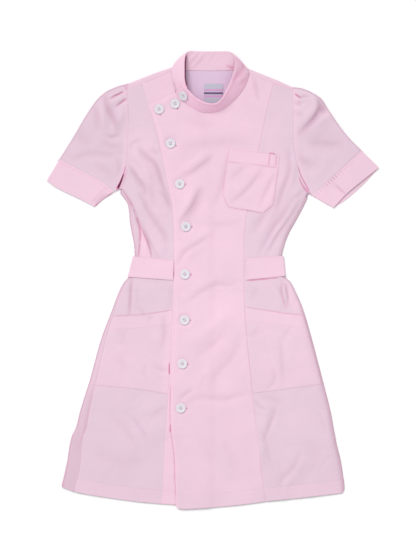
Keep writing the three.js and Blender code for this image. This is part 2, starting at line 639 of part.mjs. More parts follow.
// Flattened tube between two plan curves: upper layer, fold at the outer edge, lower layer, fold at the inner edge
function tubePiece({ start, end, lowerEnd, inner, outer, rows, upperShares, lowerShares, thickness, height }) {
  const curve = (points) => new THREE.CatmullRomCurve3(points.map(planPoint), false, 'centripetal');
  const innerCurve = curve(inner);
  const outerCurve = curve(outer);
  const patch = (far) => {
    const farCurve = curve(far);
    return (s, t) => {
      const point = start(s).multiplyScalar(1 - t).addScaledVector(farCurve.getPointAt(s), t);
      point.addScaledVector(innerCurve.getPointAt(t), 1 - s).addScaledVector(outerCurve.getPointAt(t), s);
      point.addScaledVector(start(0), -(1 - s) * (1 - t)).addScaledVector(start(1), -s * (1 - t));
      return point.addScaledVector(farCurve.getPointAt(0), -(1 - s) * t).addScaledVector(farCurve.getPointAt(1), -s * t);
    };
  };
  const upperPatch = patch(end);
  const lowerPatch = patch(lowerEnd);
  const inset = FOLD_REACH + thickness / 2;
  const pullIn = (row) => {
    const count = row.length;
    const ahead = row[count - 1].clone().sub(row[count - 2]).normalize();
    const behind = row[0].clone().sub(row[1]).normalize();
    row[count - 1].addScaledVector(ahead, -inset);
    row[0].addScaledVector(behind, -inset);
    return { ahead, behind };
  };
  const lowZ = thickness / 2;
  const grid = fractions(rows).map((t) => {
    const upper = upperShares.map((s) => upperPatch(s, t));
    const lower = lowerShares.map((s) => lowerPatch(s, t));
    const { ahead, behind } = pullIn(upper);
    pullIn(lower);
    upper.forEach((point) => point.setZ(height(point.x, point.y) + thickness / 2));
    lower.forEach((point) => point.setZ(lowZ));
    const first = upper[0];
    const last = upper[upper.length - 1];
    const lowFirst = lower[0];
    const lowLast = lower[lower.length - 1];
    const arc = (low, high, direction) => {
      const points = foldPoints(new THREE.Vector3(), direction, FOLD_REACH, low.z, high.z, FOLD_CELLS);
      return points.map((point, k) => {
        const base = low.clone().lerp(high, k / FOLD_CELLS);
        return new THREE.Vector3(base.x + point.x, base.y + point.y, point.z);
      }).slice(1, -1);
    };
    return [
      ...upper,
      ...arc(lowLast, last, ahead).reverse(),
      ...lower.reverse(),
      ...arc(lowFirst, first, behind),
    ];
  });
  return wall(grid, thickness, { ring: true });
}

function sleeveShares(side) {
  const levels = sideLevels(side).slice(ARMPIT_ROW);
  const startY = armpitY[side];
  const topY = SLEEVES[side].outer[0][1];
  const share = (y) => (y - startY) / (topY - startY);
  const backTop = path(SHOULDERS[side].fold, SHOULDER_CELLS)[side === 'right' ? 0 : SHOULDER_CELLS].y;
  const backEndY = backTop - FOLD_REACH - CLOTH / 2;
  const stretch = (backEndY - startY) / (levels[levels.length - 1] - startY);
  const backShares = levels.map((y) => share(startY + (y - startY) * stretch));
  return { upper: [...levels.map(share), 1], lower: [...backShares.slice(0, -1), 1], startY, topY };
}

function addSleeve(side) {
  const plan = SLEEVES[side];
  const { upper, lower, startY, topY } = sleeveShares(side);
  const [innerStartX, innerStartY] = plan.inner[0];
  const [outerStartX, outerStartY] = plan.outer[0];
  const armholeStart = (s) => {
    const y = lerp(startY, topY, s);
    const point = new THREE.Vector3(armhole[side](y) + SIGN[side] * HALF_GAP, y, 0);
    if (s <= 0) point.set(innerStartX, innerStartY, 0);
    if (s >= 1) point.set(outerStartX, outerStartY, 0);
    return point;
  };
  const shares = { upperShares: upper, lowerShares: lower };
  const moved = (points, step) => {
    const curve = new THREE.CatmullRomCurve3(points.map(planPoint), false, 'centripetal');
    return (s) => curve.getPointAt(s).add(step);
  };
  const sleeve = tubePiece({
    start: armholeStart, end: plan.seam, lowerEnd: plan.seam, inner: plan.inner, outer: plan.outer,
    rows: SLEEVE_CELLS, thickness: CLOTH, height: front, ...shares,
  });
  // The cuff starts past the sleeve's end, along its own outer edge, which meets the seam at an angle
  const onward = planPoint(plan.cuffOuter[1]).sub(planPoint(plan.cuffOuter[0])).setLength(CUFF_START);
  const shift = ([x, y]) => [x + onward.x, y + onward.y];
  const cuff = tubePiece({
    start: moved(plan.seam, onward), end: plan.end, lowerEnd: plan.lowerEnd,
    inner: [shift(plan.cuffInner[0]), ...plan.cuffInner.slice(1)],
    outer: [shift(plan.cuffOuter[0]), ...plan.cuffOuter.slice(1)],
    rows: CUFF_CELLS, thickness: CUFF_WALL, height: (x, y) => calmFront(y), ...shares,
  });
  addPiece(`sleeve_${side}`, sleeve, SINGLE_PLY);
  addPiece(`cuff_${side}`, cuff, DOUBLE_PLY);
}

function collarPiece() {
  const curve = (points) => new THREE.CatmullRomCurve3(points, false, 'centripetal').getPoints(COLLAR_CELLS.around);
  const seam = curve(COLLAR.map((row) => new THREE.Vector3(row.x, row.y, row.z)));
  const free = curve(COLLAR.map((row) => new THREE.Vector3(row.topX, row.topY, row.topZ)));
  const bulge = curve(COLLAR.map((row) => new THREE.Vector3(row.bulge, 0, 0)));
  const grid = fractions(COLLAR_CELLS.up).map((v) => seam.map((point, i) => {
    const outwards = point.clone().sub(COLLAR_CENTRE).setZ(0).normalize();
    return point.clone().lerp(free[i], v).addScaledVector(outwards, 4 * v * (1 - v) * bulge[i].x);
  }));
  return wall(grid, COLLAR_WALL);
}

// Belt strip, from the right front run round the right side, under the back and round the left side
function beltPiece() {
  const { right, left } = BELT;
  const lowZ = BELT_WALL / 2;
  const highZ = FRONT_LOW + BELT_LIFT + CLOTH + SEAT_GAP + BELT_WALL / 2;
  const inset = BELT_FOLD_REACH + BELT_WALL / 2;
  const grid = fractions(BELT_CELLS.across).map((v) => {
    const innerRightY = lerp(right.inner.bottomY, right.inner.topY, v);
    const innerRight = new THREE.Vector3(overlapEdge(innerRightY) - 2 * SEAM_GAP, innerRightY, 0);
    const outerRight = planPoint(right.outer.bottom).lerp(planPoint(right.outer.top), v);
    const outerLeft = planPoint(left.outer.bottom).lerp(planPoint(left.outer.top), v);
    const innerLeft = planPoint(left.inner.bottom).lerp(planPoint(left.inner.top), v);
    outerRight.x += inset;
    outerLeft.x -= inset;
    const run = (from, to, z, cells) => fractions(cells).map((u) => from.clone().lerp(to, u).setZ(z));
    const fold = (centre, sign) =>
      foldPoints(centre, new THREE.Vector3(sign, 0, 0), BELT_FOLD_REACH, lowZ, highZ, BELT_CELLS.fold).slice(1, -1);
    return [
      ...run(innerRight, outerRight, highZ, BELT_CELLS.front),
      ...fold(outerRight, SIGN.right).reverse(),
      ...run(outerRight, outerLeft, lowZ, BELT_CELLS.back),
      ...fold(outerLeft, SIGN.left),
      ...run(outerLeft, innerLeft, highZ, BELT_CELLS.front),
    ];
  });
  return wall(grid, BELT_WALL);
}

// Breast pocket: it lies across the left princess seam, on the surfaces of both panels under it
const PROBE_REACH = 5;
function breastPocketPiece(panels) {
  const probes = [-PROBE_REACH, 0, PROBE_REACH];
  const topAround = (x, y) => {
    const heights = probes.flatMap((dx) => probes.map((dy) => surfaceAt(panels, x + dx, y + dy)?.z ?? 0));
    return Math.max(...heights);
  };
  const grid = BREAST_POCKET.map((row) => fractions(BREAST_POCKET_CELLS).map((u) => {
    const x = lerp(row.leftX, row.rightX, u);
    const y = lerp(row.leftY, row.rightY, u);
    return new THREE.Vector3(x, y, topAround(x, y) + SEAT_GAP + CLOTH / 2);
  }));
  return wall(grid, CLOTH, { upright: true });
}

// Sew-through button with a raised rim and four thread holes, made in its own frame
function buttonGeometry() {
  const closed = (geometry) => {
    geometry.deleteAttribute('normal');
    geometry.deleteAttribute('uv');
    const merged = mergeVertices(geometry);
    const corners = Array.from(merged.index.array);
    const kept = [];
    for (let k = 0; k < corners.length; k += 3) {
      const [a, b, c] = corners.slice(k, k + 3);
      if (a !== b && b !== c && c !== a) kept.push(a, b, c);
    }
    const mesh = new wasm.Mesh({
      numProp: 3,
      vertProperties: merged.attributes.position.array,
      triVerts: new Uint32Array(kept),
    });
    return new wasm.Manifold(mesh);
  };
  const profile = BUTTON_PROFILE.map((row) => new THREE.Vector2(row.radius, row.height));
  const blank = new THREE.LatheGeometry(profile, BUTTON.sides).rotateX(Math.PI / 2);
  let solid = closed(blank);
  for (const [signX, signY] of [[-1, -1], [1, -1], [1, 1], [-1, 1]]) {
    const hole = new THREE.CylinderGeometry(BUTTON.hole, BUTTON.hole, 2 * BUTTON.radius, BUTTON.holeSides).rotateX(Math.PI / 2);
    hole.translate(signX * BUTTON.holeSpacing, signY * BUTTON.holeSpacing, 0);
    solid = solid.subtract(closed(hole));
  }
  const { vertProperties, triVerts } = solid.getMesh();
  return outward(Array.from(vertProperties), Array.from(triVerts));
}

// A button sits square on the mean surface under it, just clear of its highest point
const SEAT_PROBES = 12;
const SEAT_REACH = 0.8 * BUTTON.radius;
function seatButton(name, shape, place, pieces) {
  const around = fractions(SEAT_PROBES).slice(1).map((turn) => {
    const angle = turn * 2 * Math.PI;
    return [place.x + SEAT_REACH * Math.cos(angle), place.y + SEAT_REACH * Math.sin(angle)];
  });
  const hits = [[place.x, place.y], ...around]
    .map(([x, y]) => ({ x, y, hit: surfaceAt(pieces, x, y) }))
    .filter(({ hit }) => hit);
  const normal = hits.reduce((sum, { hit }) => sum.add(hit.normal), new THREE.Vector3()).normalize();
  const button = addPiece(name, shape.clone(), BUTTON_FINISH);
  const centre = new THREE.Vector3(place.x, place.y, hits[0].hit.z);
  const rise = Math.max(...hits.map(({ x, y, hit }) => new THREE.Vector3(x, y, hit.z).sub(centre).dot(normal)));
  button.position.copy(centre).addScaledVector(normal, rise + SEAT_GAP);
  button.quaternion.setFromUnitVectors(new THREE.Vector3(0, 0, 1), normal);
}

function labelPiece() {
  const { x, y, width, height } = LABEL;
  const label = new THREE.BoxGeometry(width, height, LABEL_WALL);
  return label.translate(x, y, CLOTH + SEAT_GAP + LABEL_WALL / 2);
}

// Assembly, from the surface up
const panelRight = sideFrontGrid('right');
const panelLeft = sideFrontGrid('left');
addPiece('back', backPiece(), SINGLE_PLY);
addPiece('label', labelPiece(), LABEL_FINISH);
addPiece('side_front_right', wall(panelRight, CLOTH, { upright: true }), SINGLE_PLY);
const sideFrontLeft = addPiece('side_front_left', wall(panelLeft, CLOTH, { upright: true }), SINGLE_PLY);
addPiece('front_underlap', wall(underlapGrid(), CLOTH, { upright: true }), SINGLE_PLY);
const overlap = addPiece('front_overlap', wall(overlapGrid(), CLOTH, { upright: true }), DOUBLE_PLY);
addPiece('pocket_skirt_right', wall(skirtPocketGrid(panelRight), CLOTH, { upright: true }), DOUBLE_PLY);
addPiece('pocket_skirt_left', wall(skirtPocketGrid(panelLeft), CLOTH, { upright: true }), DOUBLE_PLY);
addPiece('pocket_breast', breastPocketPiece([overlap, sideFrontLeft]), DOUBLE_PLY);
addPiece('belt', beltPiece(), DOUBLE_PLY);
addSleeve('right');
addSleeve('left');
const collar = addPiece('collar', collarPiece(), DOUBLE_PLY);

const buttonShape = buttonGeometry();
BUTTONS.forEach((place, k) => {
  const carrier = k === 0 ? collar : overlap;
  seatButton(`button_${String(k + 1).padStart(2, '0')}`, buttonShape, place, [carrier]);
});

// The origin goes to the middle of the footprint, on the surface
garment.updateMatrixWorld(true);
const footprint = new THREE.Box3().setFromObject(garment, true);
const middle = footprint.getCenter(new THREE.Vector3());
garment.position.set(-middle.x, -middle.y, -footprint.min.z);

export default garment;
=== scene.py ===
# Nurse's uniform dress, buttoned and laid flat on its back: its cloth, sewing, buttons and light.
# Tables are in millimetres in the garment's own frame: X across (the wearer's right side is -X),
# Y from hem to collar, Z up from the surface. Meshes are made in metres in the frame of the model.

import math

import bpy
import numpy as np
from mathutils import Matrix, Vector


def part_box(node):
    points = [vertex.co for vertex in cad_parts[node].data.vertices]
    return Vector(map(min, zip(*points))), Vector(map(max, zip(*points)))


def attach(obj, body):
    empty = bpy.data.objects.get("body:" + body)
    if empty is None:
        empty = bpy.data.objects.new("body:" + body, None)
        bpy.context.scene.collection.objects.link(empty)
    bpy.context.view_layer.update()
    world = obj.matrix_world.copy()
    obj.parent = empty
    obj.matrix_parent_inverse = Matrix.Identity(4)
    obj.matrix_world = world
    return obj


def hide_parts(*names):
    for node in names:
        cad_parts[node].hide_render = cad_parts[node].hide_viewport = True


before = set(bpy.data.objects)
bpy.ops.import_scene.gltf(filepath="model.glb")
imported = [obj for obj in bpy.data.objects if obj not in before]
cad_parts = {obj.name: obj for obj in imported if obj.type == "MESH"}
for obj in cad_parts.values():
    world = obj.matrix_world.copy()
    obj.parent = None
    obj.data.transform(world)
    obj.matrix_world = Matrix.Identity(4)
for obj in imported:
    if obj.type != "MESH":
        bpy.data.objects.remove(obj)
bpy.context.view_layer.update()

# Cloth thicknesses, and the heights of the layers, which are the model's own
SINGLE = 0.55
DOUBLE = 0.95
BELT_PLIES = 1.3
COLLAR_PLIES = 1.4
CLOTH = 1.2
MIDDLE = CLOTH / 2
HALF_GAP = 0.1
LAYER_GAP = 0.7
FRONT_LOW = 2.0
BELT_LIFT = 2.0
LIFT = {"start": 430, "full": 452, "full_end": 508, "end": 534}
FOLD_REACH = 1.0
LAP_FLAT = 12
LAP_FADE = 20
HEM_BLEND_TO = 200
TOP_BLEND_FROM = 560

# Sewing
ALLOWANCE = 9.0
ALLOWANCE_DROP = 0.75
SEAM_VALLEY = 0.8
SEAM_VALLEY_WIDTH = 1.3
STITCH = {"pitch": 3.0, "length": 2.1, "radius": 0.2, "sides": 5}
EDGE_STITCH = 6.0
NARROW_STITCH = 2.2

# Grid steps
ROW_STEP = 2.4
NEAR_EDGE = [0.0, 0.5, 1.2, 2.0, 3.0, 4.4, 6.0, 8.0]

# Rows that run across the body: name, then the height at the side, the height at the princess seam and
# the sag between them, for the wearer's right and for the left
BODY_ROWS = [
    ("hem", 33, 9, 2.8, 31, 14, 0.6),
    ("hem_stitch", 58, 35, 2.6, 57, 40, 0.6),
    ("", 95, 76, 2, 94, 80, 0.5),
    ("", 128, 114, 1, 128, 118, 0.4),
    ("", 144, 134, 0.5, 150, 142, 0.3),
    ("", 160, 152, 0, 170, 164, 0),
    ("", 200, 190, -1, 208, 196, 0),
    ("pocket_bottom", 246, 228.4, -2, 248.6, 230, 0.5),
    ("", 280, 268, -1, 282, 270, 0),
    ("", 314, 310, 0, 316, 312, 0),
    ("", 348, 352, 1.4, 350, 356, 0.7),
    ("pocket_top", 382.4, 394.8, 2.8, 385.6, 400.8, 1.4),
    ("", 408, 413, 1.4, 409, 416, 0.7),
    ("", 430, 430, 0, 430, 430, 0),
    ("", 452, 452, 0, 452, 452, 0),
    ("", 464, 458, 0, 465, 459, 0),
    ("", 483, 475, 0, 484, 477, 0),
    ("", 508, 508, 0, 508, 508, 0),
    ("lift_end", 534, 534, 0, 534, 534, 0),
    ("", 556, 558, 0, 556, 560, 0),
    ("", 578, 584, 0, 577, 586, 0),
    ("", 600, 611, 0, 600, 612, 0),
    ("", 616, 632, 0, 612, 634, 0),
    ("wrap_end", 629, 650, 0, 621, 654, 0),
    ("armpit", 638, 668, 0, 629, 676, 0),
    ("", 656, 688, 0, 650, 698, 0),
    ("", 684, 712, 0, 676, 722, 0),
    ("", 705, 734, 0, 700, 746, 0),
    ("", 726, 756, 0, 722, 768, 0),
    ("", 752, 780, 0, 748, 790, 0),
    ("", 778, 802, 0, 776, 810, 0),
    ("", 806, 824, 0, 806, 829, 0),
    ("shoulder", 836.4, 847.2, 0, 835.6, 847.4, 0),
]
ROW_NAMES = [row[0] for row in BODY_ROWS]
ROW_VALUES = np.array([row[1:] for row in BODY_ROWS])
ROW_COLUMNS = {
    "side_right": 0, "princess_right": 1, "sag_right": 2, "side_left": 3, "princess_left": 4, "sag_left": 5,
}

# Outline of the laid body and how far the back wraps onto the front: y, right, wrap right, left, wrap left
OUTLINE = np.array([
    (33, -292, 26.4, 272.4, 3.6), (45, -292, 27, 272.6, 3.6), (60, -288.6, 29, 270.6, 3.6),
    (96, -281, 27, 265, 3.6), (128, -276, 24.3, 257, 3.6), (144, -272, 23, 254, 3.6),
    (160, -264, 21.5, 251, 3.6), (192, -256, 19.5, 245, 3.6), (256, -236, 13.5, 229, 3.6),
    (336, -214, 10, 208, 3.6), (400, -190, 6, 189, 3.8), (432, -178, 5.3, 175, 6),
    (452, -167, 5, 164.5, 5.6), (464, -156.5, 5, 151.5, 4), (480, -152, 5, 148.5, 3.8),
    (502, -146, 5.4, 146.5, 3.6), (528, -148, 5.9, 153, 3.6), (548, -152, 6.2, 161, 3.6),
    (572, -156, 6.5, 174.2, 3.6), (596, -158, 7, 187, 3.6), (608, -160.6, 6.2, 192.8, 3.6),
    (620, -168.2, 4.8, 198.4, 3.6), (630, -176.2, 3.8, 202.4, 3.6),
])
ARMHOLE_RIGHT = np.array([
    (638, -178.4), (656, -171), (684, -163), (726, -160), (776, -157.6), (806, -158.4), (836, -160.6),
    (850, -159),
])
ARMHOLE_LEFT = np.array([
    (629, 201), (666, 186), (700, 176), (744, 170.8), (788.8, 170.8), (826, 170), (842, 169),
])

# Long seams and edges of the centre panels: y, right princess seam, overlap's edge, left princess seam
CENTRE_EDGES = np.array([
    (0, -92.5, -63.6, 117), (60, -89.5, -66, 109.5), (100, -87.5, -67, 104.8), (130, -86, -70, 101.3),
    (160, -83.8, -73, 97.6), (200, -81, -75, 93), (260, -77.5, -74.4, 86.8), (330, -74, -69, 79.6),
    (400, -70.6, -66.4, 74.6), (450, -69.2, -68, 72.8), (500, -68, -67, 72.8), (550, -68.4, -67.4, 73.6),
    (600, -71.8, -70.8, 79.6), (650, -81, -80, 88.8), (700, -91.4, -90.4, 98.8), (750, -101.6, -100.6, 109.2),
    (800, -117, -117.5, 119.8), (850, -132, -132, 131.8),
])
UNDERLAP_EDGE = np.array([(0, -16), (400, -14), (600, -16), (700, -24), (760, -34), (811, -46)])
UNDERLAP_HEM_Y = 4
UNDERLAP_SHOULDER = [(-131.8, 847.2), (-103, 859), (-71.2, 872.4)]
UNDERLAP_NECK = [(-71.2, 872.4), (-68.4, 855.4), (-62.6, 842.6), (-58, 832), (-49.5, 818.5), (-43.6, 811)]
OVERLAP_DIAGONAL = [(-119, 804.4), (-92, 817), (-61.8, 831)]
OVERLAP_NECK = [
    (-61.8, 831), (-49.2, 813.6), (-33.4, 801.4), (-15.6, 793.6), (2.1, 792.2), (19.6, 795.2),
    (39.2, 805.8), (58.8, 823.2), (71.6, 840.2), (80.0, 858), (82.6, 866.8),
]
OVERLAP_SHOULDER = [(82.6, 866.8), (110, 856.4), (133.6, 847.4)]
OVERLAP_HEM = [(-63.8, 5.4), (-59, -0.2), (-48, -1.4), (-34, -1), (-2, 1), (64, 7), (116.2, 14)]

BACK_HEM = [(-290.4, 42), (-240, 31), (-160, 20), (-92, 14), (0, 6), (115, 20), (200, 29), (271, 36)]
BACK_NECK_Y = 874.6
BACK_NECK_X = (-69, 77)
SHOULDERS = {
    "right": {
        "fold": [(-158.9, 848.6), (-122, 863.4), (-100, 871.6), (-72, 881.2)],
        "seam": [(-160.4, 837), (-131.8, 847.6), (-103, 859.4), (-71.4, 873.4)],
    },
    "left": {
        "fold": [(79.4, 879.2), (98, 871.4), (118, 863.4), (138, 855.4), (168.6, 841.6)],
        "seam": [(82.8, 867), (110, 856.8), (133.8, 847.8), (169, 836)],
    },
}

SLEEVES = {
    "right": {
        "outer": [
            (-160, 848.4), (-180, 843), (-204, 832), (-222, 816), (-244, 784), (-270, 740), (-296.4, 698),
        ],
        "inner": [(-180.4, 636.4), (-184.4, 634.6), (-188.4, 632.4)],
        "seam": [(-188.4, 632.4), (-213.6, 653.6), (-254.4, 675.6), (-296.4, 698)],
        "cuff_outer": [(-296.4, 698), (-309, 677), (-322, 655.4)],
        "cuff_inner": [(-188.4, 632.4), (-208, 618.4), (-226.8, 602.8)],
        "end": [(-226.8, 602.8), (-256, 618.8), (-280, 630), (-304, 642), (-322, 655.4)],
        "lower_end": [(-226.8, 602.8), (-256, 618.8), (-280, 630), (-304, 642), (-322, 655.4)],
    },
    "left": {
        "outer": [
            (170.4, 841.4), (188, 839), (207, 831), (227.4, 817.4), (243, 792.6), (265, 760.6), (281, 740.8),
            (306, 715.6),
        ],
        "inner": [(203, 627.6), (205, 626.6), (208, 625)],
        "seam": [(208, 625), (224, 638.8), (240.4, 655), (263.4, 675.6), (306, 715.6)],
        "cuff_outer": [(306, 715.6), (323.4, 698.6), (341.2, 681)],
        "cuff_inner": [(208, 625), (228, 613), (250.4, 600.4)],
        "end": [(250.4, 600.4), (275, 627), (306, 653), (341.2, 681)],
        "lower_end": [(250.4, 600.4), (277, 617.8), (310.6, 647.4), (341.2, 681)],
    },
}
CUFF_START = 0.5
CUFF_RIPPLES = (251, 22)

# Stand collar, from the buttoned end round to the end behind it: neck seam x y z, free edge x y z, bulge
COLLAR = np.array([
    (-64, 830, 6.6, -51.8, 844.6, 20, 0), (-50, 815, 6.4, -41, 835, 23, 0.5),
    (-33, 801.6, 6.2, -28, 821.4, 25, 1), (-16, 793, 5.8, -15, 812.6, 26, 1),
    (2, 791, 5.2, 1, 807.2, 26, 1), (20, 794, 4.8, 16.6, 807.6, 26, 1),
    (39, 805, 4.6, 27.6, 816.4, 26, 1), (58, 822.4, 4.6, 36.6, 832.4, 26, 1),
    (70.6, 839.4, 4.6, 45, 850, 25, 1), (79.6, 857.4, 4.6, 51.8, 870, 22, 1.5),
    (82, 869, 4, 55.2, 891, 17, 3), (78.6, 876.6, 2.6, 51, 906, 9, 3),
    (66, 876.4, 1.2, 41, 912, 5, 0), (40, 875.8, 1.1, 26, 912.6, 4, 0),
    (6, 875.6, 1.1, 4, 912.4, 4, 0), (-28, 875.8, 1.1, -20, 912.6, 4, 0),
    (-56, 876.6, 1.2, -36.5, 913, 5, 0), (-71, 879.6, 2.8, -43.4, 908.8, 9, 3.5),
    (-72.4, 871, 4.6, -46.8, 896, 16, 3), (-69.6, 855, 4.8, -47.4, 874, 21, 1.5),
    (-63.6, 842, 5, -46.8, 855, 22.5, 0.5), (-59, 830.8, 5.4, -43.4, 841, 20.5, 0),
    (-50.6, 819, 5.6, -40.4, 829, 19.5, 0),
])
COLLAR_CENTRE = (4, 862)

BELT = {
    "right": {"inner": ((-70, 456.2), (-68.6, 493.8)), "outer": ((-160.4, 462.8), (-150.2, 503))},
    "left": {"inner": ((76, 456.6), (78, 498.8)), "outer": ((155.2, 464.4), (151.2, 503.4))},
}
BELT_FOLD_REACH = 2.0

# Breast pocket, from its pointed bottom to its opening: left x y, right x y
BREAST_POCKET = np.array([
    (42, 603, 108.8, 590), (30, 626, 129, 606), (33.6, 660, 134.6, 642), (37.2, 694, 140, 678),
    (42.8, 717.2, 142.8, 704.4),
])
POCKET_BAND = 24.0
PEN_SLOT = (123.6, 137.5)
SKIRT_POCKET_BAND = 25.0

LABEL = {"x": 11, "y": 829, "width": 37, "height": 38, "thickness": 0.8}
SKETCHED_BUTTONS = [
    (-48.6, 823.8), (-65.8, 808.4), (-97.6, 797.4), (-74.8, 729), (-56.4, 648), (-44.2, 562.8),
    (-46, 467.6), (-46.8, 376), (-51.2, 288.4), (-54.4, 200),
]

# The largest folds, which the model has too: from x y, to x y, width, height
FOLDS = [
    (-62, 548, -10, 656, 11, 2.4), (-60, 488, 22, 578, 12, 2.2), (-62, 412, 34, 466, 12, 1.8),
    (-42, 322, 62, 404, 13, 1.8), (-22, 228, 32, 334, 13, 1.6), (176, 706, 104, 546, 11, 2.8),
    (190, 656, 140, 540, 10, 2.4), (-154, 740, -106, 636, 12, 2.8), (-160, 690, -116, 548, 10, 2.4),
    (140, 451, 150, 394, 8, 2), (120, 222, 104, 70, 10, 1.8), (188, 124, 150, 30, 11, 1.6),
    (-146, 200, -100, 96, 11, 1.6), (-162, 830, -208, 798, 8, 2.6), (-160, 812, -194, 742, 10, 3),
    (-204, 828, -218, 722, 13, 2.4), (-184, 652, -248, 706, 11, 1.6), (172, 834, 210, 804, 8, 2.4),
    (172, 738, 248, 796, 11, 2.8), (208, 822, 224, 762, 10, 2.2), (206, 650, 256, 716, 11, 1.6),
]

